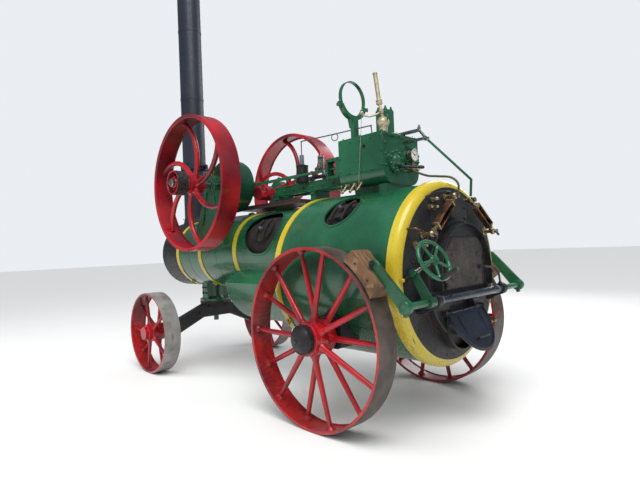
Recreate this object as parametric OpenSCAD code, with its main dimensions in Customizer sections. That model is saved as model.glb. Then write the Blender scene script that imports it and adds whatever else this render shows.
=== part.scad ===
// Portable steam engine on four iron wheels, with its engine on top of the boiler.
// X runs forward from the rear axle to the smokebox, Y to the left side, Z up from the ground.

/* [Boiler] */
// Radius of the large rear drum's green cladding
main_r = 690; // [640:1:692]
// Height of the rear drum's axis above the ground
main_z = 1110; // [1080:1:1140]
// Distance from the rear axle back to the end of the drum's cladding
main_back = 615; // [610:1:620]
// Distance from the rear axle forward to the front of the drum
main_front = 600; // [550:1:660]
// Thickness of the cladding sheets
clad_t = 10; // [6:1:14]
// Radius of the front barrel
barrel_r = 404; // [380:1:420]
// Height of the front barrel's axis above the ground
barrel_z = 1332; // [1320:1:1350]
// Radius of the rounded lower body under the middle of the boiler
lower_r = 515; // [480:1:540]
// Height of the lower body's axis above the ground
lower_z = 1095; // [1070:1:1110]
// Distance from the rear axle forward to the end of the lower body
lower_front = 1650; // [1500:1:1700]
// Distance from the rear axle forward to the smokebox
barrel_front = 2870; // [2820:1:2880]
// Gap between the cladding and the boiler plates inside it
lagging = 32; // [30:1:36]
// Width of the yellow bands
band_w = 64; // [50:1:66]
// Thickness of the yellow bands
band_t = 7; // [4:1:8]
// Length of the rear flange's sleeve round the drum
sleeve_l = 10; // [6:1:30]
// How far the yellow rear flange stands out beyond the cladding
flange_out = 20; // [16:1:24]
// Length of the rear flange's straight rim
flange_l = 22; // [16:1:26]

/* [Fire end] */
// Radius of the firebox drum on the backplate
firebox_r = 430; // [420:1:440]
// Height of the firebox drum's axis
firebox_z = 1070; // [1060:1:1090]
// Length of the firebox drum behind the backplate
firebox_l = 66; // [60:1:75]
// How far the hood over the fire door stands out
hood_l = 67; // [50:1:80]
// Outer radius of the hood's arch
hood_r = 375; // [365:1:380]
// Height of the centre of the hood's arch
hood_z = 1106; // [1100:1:1112]
// Thickness of the plate that carries the fire door
frame_t = 24; // [18:1:30]
// Width of the fire door
door_w = 545; // [500:1:560]
// Height of the fire door's lower edge
door_low_z = 1010; // [1000:1:1020]
// Height of the fire door's crown
door_high_z = 1375; // [1340:1:1380]
// Radius of the fire door's upper corners
door_corner = 120; // [100:1:130]
// Thickness of the fire door
door_t = 14; // [10:1:18]
// Height of the ash flap's hinge
flap_z = 838; // [820:1:860]
// Width of the ash flap
flap_w = 536; // [480:1:550]
// Length of the ash flap
flap_l = 330; // [310:1:340]
// Angle that the ash flap stands open, as parked
flap_angle = 31; // [20:1:35]
// Outer radius of the ash box's round bottom
ash_r = 232; // [226:1:240]
// Height of the centre of the ash box's round bottom
ash_z = 765; // [758:1:772]

/* [Smokebox and chimney] */
// Radius of the smokebox
smokebox_r = 412; // [406:1:420]
// Length of the smokebox
smokebox_l = 360; // [340:1:400]
// Radius of the smokebox door
smoke_door_r = 350; // [320:1:370]
// Distance from the rear axle forward to the chimney
chimney_x = 3065; // [3050:1:3070]
// Outer radius of the chimney
chimney_r = 147; // [140:1:150]
// Wall of the chimney
chimney_t = 8; // [5:1:12]
// Height of the chimney's hinge
hinge_z = 2481; // [2470:1:2500]
// Height of the chimney's top above its hinge
chimney_l = 2790; // [2760:1:2800]
// Distance from the chimney's axis back to its hinge pin
hinge_back = 190; // [180:1:200]
// Distance from the rear axle forward to the chimney rest
rest_x = 236; // [225:1:245]

/* [Engine] */
// Length of the cylinder block along the boiler
block_l = 480; // [460:1:500]
// Distance from the rear axle forward to the block's front
block_front = 205; // [200:1:215]
// Width of the cylinder block across the boiler
block_w = 490; // [480:1:500]
// Width of the saddle under the cylinder block
saddle_w = 190; // [170:1:196]
// Half width of the saddle's rear foot
saddle_foot = 200; // [150:1:210]
// Height of the cylinder block's underside above the drum
saddle_h = 35; // [25:1:50]
// Height of the cylinder block
block_h = 415; // [405:1:425]
// Radius of the cylinder block's lower edges
block_corner = 110; // [90:1:120]
// Distance from the middle out to the right of the piston's axis
piston_y = 130; // [120:1:132]
// Distance from the middle out to the left of the valve's axis
valve_y = 95; // [90:1:100]
// Distance from the rear axle forward to the crankshaft
crank_x = 1867; // [1860:1:1880]
// Height of the crankshaft above the cylinder block's underside
crank_rise = 224; // [220:1:230]
// Radius of the crankshaft
crank_r = 42; // [36:1:46]
// Crank throw
throw = 150; // [140:1:155]
// How far the crank pin stands below the shaft, as parked
pin_drop = 89; // [80:1:95]
// Length of the connecting rod between its pins
rod_l = 622; // [600:1:640]
// Radius of the green governor drum on the crankshaft
governor_r = 285; // [260:1:290]
// Distance from the middle to each crankshaft bearing
bearing_y = 460; // [450:1:470]
// Width of each crankshaft bearing
bearing_w = 100; // [90:1:110]

/* [Flywheels] */
// Radius of the flywheels
fly_r = 707; // [690:1:715]
// Width of a flywheel's rim
fly_w = 204; // [190:1:206]
// Distance from the middle to a flywheel's outer face
fly_y = 805; // [800:1:810]
// Thickness of a flywheel's rim
fly_rim = 26; // [20:1:32]
// Number of curved spokes in a flywheel
fly_spokes = 6; // [5:1:6]
// Radius of a flywheel spoke's round section
fly_spoke_r = 26; // [20:1:28]
// Radius of a flywheel spoke's bend
fly_bend = 430; // [420:1:480]
// Radius of the small belt pulley
pulley_r = 125; // [110:1:130]
// Width of the small belt pulley
pulley_w = 120; // [100:1:124]

/* [Wheels] */
// Radius of the rear wheels
rear_r = 675; // [670:1:680]
// Width of the rear wheels' rims
rear_w = 190; // [180:1:192]
// Distance from the drum's side out to a rear wheel's outer face
wheel_out_y = 210; // [210:1:215]
// Number of spokes in a rear wheel
rear_spokes = 14; // [12:1:14]
// Radius of the front wheels
front_r = 450; // [430:1:455]
// Width of the front wheels' rims
front_w = 180; // [160:1:190]
// Distance from the middle to a front wheel's outer face
front_y = 910; // [900:1:920]
// Number of spokes in a front wheel
front_spokes = 10; // [8:1:10]
// Distance between the rear axle and the front axle
wheelbase = 2660; // [2640:1:2680]
// Thickness of the wheels' rims
rim_t = 14; // [10:1:18]
// Radius of the wheels' axles
axle_r = 44; // [40:1:48]

/* [Brake] */
// Distance from the rear wheels' treads back to the brake's cross shaft
brake_behind = 166; // [165:1:171]
// Height of the brake's cross shaft above the rear axle
brake_rise = 276; // [274:1:279]
// Radius of the brake's cross shaft
brake_r = 24; // [20:1:24]
// Radius of the sleeve on the brake's cross shaft
brake_sleeve_r = 30; // [27:1:32]
// Distance from a rear wheel's outer face in to its brake arm
arm_in = 70; // [60:1:80]
// Thickness of the brake arms
brake_arm_t = 26; // [20:1:28]
// Width of a wooden brake block across the wheel
brake_block_w = 170; // [150:1:180]
// Thickness of a wooden brake block
brake_block_t = 85; // [70:1:90]
// Gap between a brake block and its wheel, as parked
brake_gap = 12; // [10:1:16]
// Height of the brake's handwheel
handwheel_z = 1230; // [1225:1:1236]
// Distance from the backplate back to the brake's handwheel
handwheel_out = 201; // [196:1:206]
// Radius of the brake's handwheel
handwheel_r = 150; // [140:1:154]
// Distance in from the drum's side to the brake's handwheel
handwheel_in = 110; // [106:1:116]
// Rise of the handwheel's axis toward the rear
handwheel_lift = 27; // [24:1:29]
// Length of the handwheel's crank handle
handle_l = 150; // [130:1:160]
// Radius of the handwheel rim's round section
wheel_rim_r = 14; // [11:1:15]

/* [Clearances] */
// Running clearance of a shaft in its bore
run_gap = 0.1; // [0.05:0.01:0.1]
// Gap under a piece that is seated on a round surface
seat_gap = 0.3; // [0.2:0.1:0.4]

/* [Hidden] */
$fn = 96;

green = "#2f6b3a";
black = "#1d1c1e";
red = "#a3152c";
yellow = "#d8b21e";
steel = "#9a9ca0";
brass = "#b8924a";
wood = "#7a5a3a";

hood_t = 8;
lip_w = 14;
lip_h = 6;
gauge_out = 80;
turntable_z = 735;
turntable_r = 190;
door_gap = 1;
door_handle_out = 76;
flap_out = 18;
flap_t = 12;
door_hinges = [1070, 1245];

// The origin lies on the ground under the middle of the whole engine.
flange_r = main_r + flange_out;
core_r = main_r - clad_t - lagging;
nose_r = flange_r - core_r;
backplate_x = -(main_back + flange_l + nose_r);
firebox_x = backplate_x - firebox_l;
block_low_z = main_z + main_r + saddle_h;
block_high_z = block_low_z + block_h;
crank_z = block_low_z + crank_rise;
handwheel_y = main_r - handwheel_in;
handle_at = handwheel_r - wheel_rim_r;
handle_r = 12;
handle_turn = -10;
wheel_turn = 174.4;

front_end = barrel_front + smokebox_l + door_gap + door_handle_out;
handle_x = handle_at * (sin(handwheel_lift) * cos(wheel_turn) * cos(handle_turn)
    - sin(wheel_turn) * sin(handle_turn)) + handle_l * cos(handwheel_lift) * cos(wheel_turn);
handle_side = sqrt(1 - pow(cos(handwheel_lift) * cos(wheel_turn), 2));
back_end = -backplate_x + handwheel_out - handle_x + handle_r * handle_side;
middle_x = (front_end - back_end) / 2;

frame_x = firebox_x - frame_t;
rear_y = main_r + wheel_out_y;
arm_y = rear_y - arm_in;
bracket_y = rear_y - rear_w - 30;
door_hinge_y = door_w / 2 + 20;
latch_x = firebox_x - hood_l - 17;
hinge_x = chimney_x - hinge_back;
rest_z = hinge_z + hinge_back;
rest_r = chimney_r + 5;
block_back = block_front - block_l;
pin_x = crank_x - sqrt(throw * throw - pin_drop * pin_drop);
pin_z = crank_z - pin_drop;
crosshead_x = pin_x - sqrt(rod_l * rod_l - pin_drop * pin_drop);
brake_x = -(rear_r + brake_behind);
brake_z = rear_r + brake_rise;

// Puts what is drawn from the rear axle into the engine's own frame.
module from_axle() {
    translate([-middle_x, 0, 0]) children();
}

// A cylinder from one X to another, along the boiler.
module along_x(from_x, to_x, r, y = 0, z = 0) {
    translate([from_x, y, z]) rotate([0, 90, 0]) cylinder(r = r, h = to_x - from_x);
}

// A cylinder from one Y to another, across the boiler.
module along_y(from_y, to_y, r, x = 0, z = 0) {
    translate([x, to_y, z]) rotate([90, 0, 0]) cylinder(r = r, h = to_y - from_y);
}

// A box by its lowest and highest corners.
module block(low, high) {
    translate(low) cube(high - low);
}

// Stands an outline drawn in (Y, Z) up and runs it from one X to another.
module run_x(from_x, to_x) {
    translate([from_x, 0, 0]) rotate([90, 0, 90]) linear_extrude(to_x - from_x) children();
}

// Stands an outline drawn in (X, Z) up and runs it from one Y to another.
module run_y(from_y, to_y) {
    translate([0, to_y, 0]) rotate([90, 0, 0]) linear_extrude(to_y - from_y) children();
}

// A bar with two round ends, between two points.
module bar_outline(a, b, ra, rb) {
    d = b - a;
    l = norm(d);
    turn = atan2(d.y, d.x);
    lean = asin((ra - rb) / l);
    inset = 0.995;
    translate(a) circle(ra);
    translate(b) circle(rb);
    translate(a) rotate(turn) polygon([
        inset * ra * [sin(lean), cos(lean)], [l, 0] + inset * rb * [sin(lean), cos(lean)],
        [l, 0] + inset * rb * [sin(lean), -cos(lean)], inset * ra * [sin(lean), -cos(lean)],
    ]);
}

// A round rod between two points in space.
module rod_between(a, b, r) {
    d = b - a;
    translate(a) rotate([0, acos(d.z / norm(d)), atan2(d.y, d.x)]) cylinder(r = r, h = norm(d));
}

// The outline of the boiler's middle: the barrel above the lower body with its sloped shelves.
shelf_in = [354, 1137];
shelf_slope = -0.79;
module lower_outline(grow = 0) {
    crown_z = shelf_in.y - shelf_slope * shelf_in.x + grow * 1.27;
    wide = 2 * lower_r;
    intersection() {
        translate([0, lower_z]) circle(lower_r + grow);
        polygon([
            [0, crown_z], [wide, crown_z + shelf_slope * wide], [wide, 0],
            [-wide, 0], [-wide, crown_z + shelf_slope * wide],
        ]);
    }
}
module middle_outline(grow = 0) {
    translate([0, barrel_z]) circle(barrel_r + grow);
    lower_outline(grow);
}

// The outline of an oval wash-out opening.
module oval_outline(half_w, half_h) {
    r = min(half_w, half_h);
    long = max(half_w, half_h) - r;
    turn = half_h > half_w ? 90 : 0;
    rotate(turn) {
        for (side = [-1, 1]) translate([side * long, 0]) circle(r);
        square([2 * long, 2 * r], center = true);
    }
}

// The two wash-out openings on the left: middle X, axis height, radius, tilt, half sizes.
// [x, axis z, skin radius, tilt above level, half width, half height]
OPENINGS = [
    [1195, barrel_z, barrel_r, 32, 268, 240],
    [10, main_z, main_r, 50, 150, 177],
];

module at_opening(o) {
    translate([o[0], 0, o[1]]) rotate([-(90 - o[3]), 0, 0]) children();
}

module opening_cut(o) {
    at_opening(o) linear_extrude(o[2] + 60) oval_outline(o[4], o[5]);
}

// A raised lip round an opening, seen from the side as the skin's own curve.
module opening_lip(o) {
    intersection() {
        at_opening(o) linear_extrude(o[2] + 60) oval_outline(o[4] + lip_w, o[5] + lip_w);
        along_x(o[0] - o[4] - 2 * lip_w, o[0] + o[4] + 2 * lip_w, o[2] + lip_h, 0, o[1]);
    }
}

module main_cladding() color(green) from_axle() {
    difference() {
        union() {
            along_x(-main_back, main_front, main_r, 0, main_z);
            opening_lip(OPENINGS[1]);
        }
        along_x(-main_back - 1, main_front - clad_t, main_r - clad_t, 0, main_z);
        opening_cut(OPENINGS[1]);
    }
}

module middle_cladding() color(green) from_axle() {
    difference() {
        union() {
            run_x(main_front, lower_front) middle_outline();
            opening_lip(OPENINGS[0]);
        }
        run_x(main_front - 1, lower_front - clad_t) middle_outline(-clad_t);
        along_x(main_front - 1, lower_front + 1, barrel_r - clad_t, 0, barrel_z);
        opening_cut(OPENINGS[0]);
    }
}

module boiler_barrel() color(green) from_axle() {
    along_x(lower_front, barrel_front, barrel_r, 0, barrel_z);
}

module boiler_core() color(black) from_axle() {
    along_x(backplate_x + 20, main_front - clad_t, core_r, 0, main_z);
    run_x(main_front, lower_front - clad_t) middle_outline(-clad_t - lagging);
}

module washout_doors() color(black) from_axle() {
    for (o = OPENINGS) {
        inner = o[2] - clad_t - lagging;
        intersection() {
            at_opening(o) {
                translate([0, 0, inner - 30]) linear_extrude(62) oval_outline(o[4] * 0.5, o[5] * 0.5);
                translate([0, 0, inner]) cylinder(r = 16, h = 44);
            }
            difference() {
                along_x(o[0] - o[4], o[0] + o[4], o[2] - 6, 0, o[1]);
                along_x(o[0] - 500, o[0] + 500, inner + seat_gap, 0, o[1]);
            }
        }
    }
}

// Yellow bands: [X of the middle, axis height, skin radius]
BANDS = [
    [barrel_front - 34, barrel_z, barrel_r],
    [2314, barrel_z, barrel_r],
    [lower_front - 42, barrel_z, barrel_r],
    [main_front - 34, main_z, main_r],
];

module yellow_bands() color(yellow) from_axle() {
    for (b = BANDS) difference() {
        along_x(b[0] - band_w / 2, b[0] + band_w / 2, b[2] + band_t, 0, b[1]);
        along_x(b[0] - band_w, b[0] + band_w, b[2] + seat_gap, 0, b[1]);
        if (b[0] > main_front && b[0] < lower_front) run_x(b[0] - band_w, b[0] + band_w) {
            lower_outline(seat_gap);
        }
    }
}

module rear_flange() color(yellow) from_axle() {
    sleeve_in = main_r + seat_gap;
    translate([-main_back, 0, main_z]) rotate([0, -90, 0]) rotate_extrude() {
        translate([sleeve_in, -sleeve_l]) square([flange_r - sleeve_in, sleeve_l + flange_l]);
        translate([core_r + seat_gap, 0]) square([nose_r - seat_gap, flange_l + 0.1]);
        translate([core_r + seat_gap, flange_l - 1]) intersection() {
            square(nose_r);
            circle(nose_r - 1);
        }
    }
}

module backplate() color(black) from_axle() {
    along_x(backplate_x, backplate_x + 20, core_r, 0, main_z);
}

// The outline of the fire door with its rounded upper corners, in (Y, Z).
module door_outline(grow = 0) {
    half = door_w / 2 + grow;
    low = door_low_z - grow;
    spring_z = door_high_z - door_corner;
    inner = half - door_corner;
    translate([-half, low]) square([2 * half, spring_z - low]);
    translate([-inner, low]) square([2 * inner, door_high_z + grow - low]);
    for (side = [-1, 1]) translate([side * inner, spring_z + grow]) circle(door_corner);
}

// The arch of the hood over the fire door, in (Y, Z).
module hood_outline(r) {
    translate([0, hood_z]) circle(r);
    translate([-r, hood_z - 110]) square([2 * r, 110]);
}

module ash_outline(r) {
    translate([0, ash_z]) circle(r);
    translate([-r, ash_z]) square([2 * r, flap_z - 40 - ash_z]);
}

module firebox_drum() color(black) from_axle() {
    difference() {
        union() {
            along_x(firebox_x, backplate_x, firebox_r, 0, firebox_z);
            run_x(firebox_x, backplate_x) ash_outline(ash_r);
            difference() {
                run_x(firebox_x - hood_l, firebox_x + 1) hood_outline(hood_r);
                run_x(firebox_x - hood_l - 1, frame_x) hood_outline(hood_r - hood_t);
                block([firebox_x - hood_l - 2, -hood_r, 0], [firebox_x, hood_r, hood_z - 104]);
            }
        }
        run_x(frame_x - 1, backplate_x - 12) door_outline(-26);
        run_x(firebox_x - 1, backplate_x - 12) ash_outline(ash_r - 18);
    }
    // Hinge lugs of the ash flap and of the fire door.
    for (y = [-flap_w / 2 - 20, flap_w / 2 + 4]) difference() {
        block([firebox_x - flap_out - 16, y, flap_z - 16], [firebox_x + 1, y + 16, flap_z + 16]);
        along_y(y - 1, y + 17, 10 + run_gap, firebox_x - flap_out, flap_z);
    }
    for (z = door_hinges) difference() {
        block([frame_x - 26, door_hinge_y - 14, z - 14], [frame_x + 1, door_hinge_y + 14, z + 14]);
        translate([frame_x - 13, door_hinge_y, z - 20]) cylinder(r = 7 + run_gap, h = 40);
    }
}

module fire_door() color("#4a3a34") from_axle() {
    face = frame_x - 1 - door_t;
    run_x(face, frame_x - 1) door_outline();
    for (z = door_hinges) {
        block([frame_x - 20, door_w / 2 - 40, z + 15], [frame_x - 6, door_hinge_y + 6, z + 35]);
        translate([frame_x - 13, door_hinge_y, z - 13]) cylinder(r = 7, h = 48);
    }
    // Latch with its long curved handle, from the door's face round past the hood.
    route = [
        [face + 4, -218, 1144], [latch_x, -218, 1144], [latch_x, -374, 1129],
        [latch_x, -452, 1081], [latch_x, -472, 1004],
    ];
    for (i = [1:len(route) - 1]) {
        rod_between(route[i - 1], route[i], 8);
        translate(route[i]) sphere(8.5);
    }
}

module ash_flap() color("#2b2f38") from_axle() {
    straight = flap_l - flap_w / 2;
    bar = [-30, 70, -flap_l + 95];
    translate([firebox_x - flap_out, 0, flap_z]) rotate([0, flap_angle, 0]) {
        run_x(-flap_t / 2, flap_t / 2) {
            translate([-flap_w / 2, -straight]) square([flap_w, straight]);
            intersection() {
                translate([0, -straight]) circle(flap_w / 2);
                translate([-flap_w / 2, -flap_l]) square([flap_w, flap_l - straight + 1]);
            }
        }
        along_y(-flap_w / 2 - 22, flap_w / 2 + 22, 10);
        rod_between([bar.x, -bar.y - 12, bar.z], [bar.x, bar.y + 12, bar.z], 7);
        for (y = [-bar.y, bar.y]) rod_between([0, y, bar.z], [bar.x, y, bar.z], 6);
    }
}

// The two sloping water gauges: [top across, top height, foot across, foot height]
GAUGES = [
    [70, 1681, 400, 1402],
    [-180, 1661, -530, 1418],
];

module water_gauges() color(brass) from_axle() {
    x = backplate_x - gauge_out;
    for (g = GAUGES) {
        top = [x, g[0], g[1]];
        low = [x, g[2], g[3]];
        rod_between(top, low, 11);
        for (p = [top, low]) {
            rod_between(p, [backplate_x, p.y, p.z], 15);
            translate(p) sphere(26);
        }
    }
}

// Heights of the smokebox door's two hinges from the boiler's axis, and their place across.
smoke_hinges = [-130, 100];
smoke_hinge_y = -smoke_door_r - 18;

module smokebox() color(black) from_axle() {
    face = barrel_front + smokebox_l;
    for (z = smoke_hinges) difference() {
        block([face, smoke_hinge_y - 14, barrel_z + z - 14], [face + 20, smoke_hinge_y + 10, barrel_z + z + 14]);
        translate([face + door_gap + 8, smoke_hinge_y, barrel_z + z - 20]) cylinder(r = 8 + run_gap, h = 40);
    }
    difference() {
        along_x(barrel_front, barrel_front + smokebox_l, smokebox_r, 0, barrel_z);
        along_x(barrel_front + 16, barrel_front + smokebox_l - 12, smokebox_r - 12, 0, barrel_z);
        along_x(barrel_front + smokebox_l - 20, barrel_front + smokebox_l + 1, smoke_door_r - 22, 0, barrel_z);
        translate([chimney_x, 0, barrel_z]) cylinder(r = chimney_r - chimney_t, h = smokebox_r + 50);
    }
}

module smokebox_door() color(black) from_axle() {
    face = barrel_front + smokebox_l + door_gap;
    along_x(face, face + 14, smoke_door_r, 0, barrel_z);
    along_x(face + 14, face + 26, smoke_door_r - 60, 0, barrel_z);
    along_x(face + 26, face + 60, 24, 0, barrel_z);
    for (turn = [20, 110]) {
        translate([face + 66, 0, barrel_z]) rotate([turn, 0, 0]) along_y(0, 110, 10);
    }
    along_x(face + 60, face + 72, 30, 0, barrel_z);
    for (z = smoke_hinges) {
        translate([face + 8, smoke_hinge_y, barrel_z + z - 13]) cylinder(r = 8, h = 58);
        block([face + 2, smoke_hinge_y, barrel_z + z + 16], [face + 14, -smoke_door_r + 80, barrel_z + z + 44]);
    }
}

module chimney_base() color(black) from_axle() {
    difference() {
        union() {
            translate([chimney_x, 0, barrel_z]) cylinder(r = chimney_r, h = hinge_z - 20 - barrel_z);
            translate([chimney_x, 0, barrel_z + smokebox_r - 60]) cylinder(r1 = 172, r2 = chimney_r + 4, h = 110);
            translate([chimney_x, 0, hinge_z - 44]) cylinder(r = chimney_r + 30, h = 24);
            for (y = [-60, 60]) run_y(y - 10, y + 10) {
                translate([hinge_x, hinge_z]) circle(16);
                translate([hinge_x - 16, hinge_z - 44]) square([32, 44]);
                translate([hinge_x - 16, hinge_z - 44]) square([100, 24]);
            }
        }
        translate([chimney_x, 0, barrel_z - 1]) cylinder(r = chimney_r - chimney_t, h = hinge_z - barrel_z);
        along_x(barrel_front - 200, barrel_front + smokebox_l + 300, smokebox_r + seat_gap, 0, barrel_z);
        along_y(-200, 200, 11 + run_gap, hinge_x, hinge_z);
    }
}

module chimney() color(black) from_axle() {
    difference() {
        union() {
            translate([chimney_x, 0, hinge_z - 19]) cylinder(r = chimney_r + 30, h = 24);
            translate([chimney_x, 0, hinge_z]) cylinder(r = chimney_r, h = chimney_l);
            translate([chimney_x, 0, hinge_z + chimney_l - 90]) cylinder(r1 = chimney_r, r2 = chimney_r + 45, h = 90);
            run_y(-40, 40) bar_outline([hinge_x, hinge_z], [hinge_x + 60, hinge_z], 15, 15);
            along_y(-78, 78, 11, hinge_x, hinge_z);
        }
        translate([chimney_x, 0, hinge_z - 100]) cylinder(r = chimney_r - chimney_t, h = chimney_l + 200);
    }
}

// The rest's ring splits below its middle, and the strap hinges on its right lug.
split_z = rest_z - 60;
split_gap = 3;
strap_hinge_y = -rest_r - 32;
rest_t = 24;
rest_drop = 14;
split_half = sqrt(rest_r * rest_r - pow(rest_z - split_z, 2));

module chimney_rest() color(green) from_axle() {
    block([rest_x - 130, -60, block_high_z], [rest_x + 25, 60, block_high_z + 18]);
    block([rest_x - 35, -32, block_high_z + 17], [rest_x + 5, 32, rest_z - rest_r - 10]);
    difference() {
        union() {
            along_x(rest_x - 22, rest_x + 22, rest_r + rest_t, 0, rest_z - rest_drop);
            run_x(rest_x - 22, rest_x + 22) polygon([
                [-50, rest_z - rest_r - 20], [50, rest_z - rest_r - 20],
                [30, rest_z - rest_r - 110], [-30, rest_z - rest_r - 110],
            ]);
            block([rest_x - 22, -split_half - 30, split_z - 26], [rest_x + 22, -split_half + 14, split_z]);
            block([rest_x - 22, split_half - 14, split_z - 26], [rest_x + 22, split_half + 50, split_z]);
        }
        along_x(rest_x - 30, rest_x + 30, rest_r, 0, rest_z);
        block([rest_x - 100, -300, split_z - split_gap], [rest_x + 100, 300, rest_z + 300]);
    }
    difference() {
        for (x = [rest_x - 22, rest_x + 10]) {
            along_x(x, x + 12, 9, strap_hinge_y, split_z);
            block([x, strap_hinge_y - 9, split_z - 26], [x + 12, -split_half - 20, split_z - split_gap]);
        }
        along_x(rest_x - 30, rest_x + 30, 5 + run_gap, strap_hinge_y, split_z);
    }
}

module rest_strap() color(green) from_axle() {
    low = split_z + split_gap;
    difference() {
        along_x(rest_x - 18, rest_x + 18, rest_r + 9, 0, rest_z);
        along_x(rest_x - 30, rest_x + 30, rest_r + 2, 0, rest_z);
        block([rest_x - 100, -300, rest_z - 300], [rest_x + 100, 300, low]);
    }
    block([rest_x - 18, split_half + 4, low], [rest_x + 18, split_half + 44, low + 9]);
    block([rest_x - 9, strap_hinge_y, low], [rest_x + 9, -split_half - 4, low + 9]);
    along_x(rest_x - 9, rest_x + 9, 9, strap_hinge_y, split_z);
    along_x(rest_x - 22, rest_x + 22, 5, strap_hinge_y, split_z);
}

module cylinder_saddle() color(green) from_axle() {
    low_z = block_low_z - saddle_h - 80;
    difference() {
        union() {
            block([block_back + 40, -saddle_w / 2, low_z], [block_front - 40, saddle_w / 2, block_low_z]);
            block([block_back + 10, -saddle_foot, low_z], [block_back + 90, saddle_foot, block_low_z]);
        }
        along_x(block_back, block_front, main_r + seat_gap, 0, main_z);
    }
}

module cylinder_block() color(green) from_axle() {
    run_x(block_back, block_front) {
        translate([-block_w / 2, block_low_z + block_corner]) square([block_w, block_h - block_corner]);
        translate([-block_w / 2 + block_corner, block_low_z]) square([block_w - 2 * block_corner, block_corner + 1]);
        for (side = [-1, 1]) translate([side * (block_w / 2 - block_corner), block_low_z + block_corner]) {
            circle(block_corner);
        }
    }
}

// Covers on the block's ends: [across, height, radius, at the front?, boss length]
COVERS = [
    [-piston_y, crank_z, 100, false, 20], [valve_y + 2, crank_z - 41, 95, false, 30],
    [-piston_y, crank_z, 85, true, 70], [valve_y, crank_z, 70, true, 70],
];

module cylinder_covers() color(green) from_axle() {
    for (c = COVERS) {
        x = c[3] ? block_front : block_back;
        side = c[3] ? 1 : -1;
        difference() {
            union() {
                along_x(min(x, x + side * 18), max(x, x + side * 18), c[2], c[0], c[1]);
                along_x(min(x, x + side * c[4]), max(x, x + side * c[4]), c[2] * 0.45, c[0], c[1]);
            }
            if (c[3]) along_x(x - 1, x + 80, 20 + seat_gap, c[0], c[1]);
        }
    }
}

module safety_valve() color(green) from_axle() {
    x = -122;
    half = 54;
    top = block_high_z + 230;
    block([x - 90, -80, block_high_z], [x + 90, 80, block_high_z + 20]);
    block([x - half, -half, block_high_z + 19], [x + half, half, top]);
    for (sx = [-38, 38], sy = [-38, 38]) translate([x + sx, sy, top - 1]) cylinder(r = 9, h = 30);
    // Two levers behind the block, and their rod down to the right water gauge.
    knee = [-488, -50, block_high_z - 67];
    lever = [-424, -50, block_high_z + 13];
    low = [backplate_x - gauge_out, -200, 1824];
    block([lever.x - 6, -62, lever.z - 12], [x - half + 1, -38, lever.z + 12]);
    block([knee.x, -62, knee.z - 8], [block_back, -38, knee.z + 14]);
    rod_between(lever, knee, 12);
    translate(knee) sphere(17);
    rod_between(knee, low, 10);
    translate(low) sphere(10.5);
    rod_between(low, [low.x, GAUGES[1][0], GAUGES[1][1] + 32], 10);
}

module whistle() color(brass) from_axle() {
    base = [-200, 130, block_high_z];
    translate(base) cylinder(r = 34, h = 60);
    translate(base + [0, 0, 95]) sphere(50);
    rod_between(base + [0, 0, 120], base + [30, 0, 270], 12);
    rod_between(base + [30, 0, 260], base + [62, 0, 520], 18);
    whistle_arm();
}

// The whistle's arm, from its stem out over the block's left edge; its cord starts at the last point.
WHISTLE_ARM = [
    [-190, 132, block_high_z + 186], [-150, 172, block_high_z + 160], [-118, 212, block_high_z + 150],
    [-94, 240, block_high_z + 158], [-82, 256, block_high_z + 180],
];
// The cord is tied taut to one of the drain cocks under the block's left edge.
cocks = [150, 62, -14];
cock_turn = -46;
cock_reach = 66;
cord_r = 2;

// A point at a distance from the centre of the block's lower left corner.
function cock_at(x, r) = [
    x, block_w / 2 - block_corner + r * cos(cock_turn), block_low_z + block_corner + r * sin(cock_turn),
];

module whistle_arm() {
    for (i = [1:len(WHISTLE_ARM) - 1]) {
        rod_between(WHISTLE_ARM[i - 1], WHISTLE_ARM[i], 8);
        translate(WHISTLE_ARM[i]) sphere(i == len(WHISTLE_ARM) - 1 ? 15 : 8.5);
    }
}

module whistle_cord() color(wood) from_axle() {
    top = WHISTLE_ARM[len(WHISTLE_ARM) - 1];
    foot = cock_at(cocks[2], block_corner + cock_reach);
    down = (foot - top) / norm(foot - top);
    rod_between(top + 15.5 * down, foot - 15.5 * down, cord_r);
}

module drain_cocks() color(brass) from_axle() {
    for (x = cocks) {
        foot = cock_at(x, block_corner + cock_reach);
        rod_between(cock_at(x, block_corner + seat_gap), foot, 10);
        translate(foot) sphere(15);
    }
}

module pressure_gauge() color(brass) from_axle() {
    at = [block_back - 55, -79, block_low_z + 240];
    along_x(at.x - 20, at.x + 18, 54, at.y, at.z);
    rod_between([at.x, at.y, at.z - 50], [at.x, at.y, at.z - 125], 14);
    along_x(at.x, block_back, 14, at.y, at.z - 125);
}

// The slide bars run between two end plates.
guide_back = 744;
guide_front = 1300;
foot_x = [800, 1360];
module frame_feet(grow = 0) {
    for (x = foot_x) {
        block([x - grow, -piston_y - 105 - grow, 1600], [x + 60 + grow, -piston_y + 105 + grow, crank_z - 150]);
    }
}

module engine_frame() color(green) from_axle() {
    for (side = [-1, 1]) {
        y = -piston_y + side * 92;
        run_y(y - 13, y + 13) {
            translate([block_front, crank_z - 150]) square([1420 - block_front, 90]);
        }
    }
    for (x = [block_front, guide_back - 4, guide_front - 4]) {
        block([x, -piston_y - 80, crank_z - 150], [x + 24, -piston_y + 80, crank_z - 95]);
    }
    // Feet down to the barrel.
    difference() {
        frame_feet();
        along_x(0, 3000, barrel_r + seat_gap, 0, barrel_z);
    }
}

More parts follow.
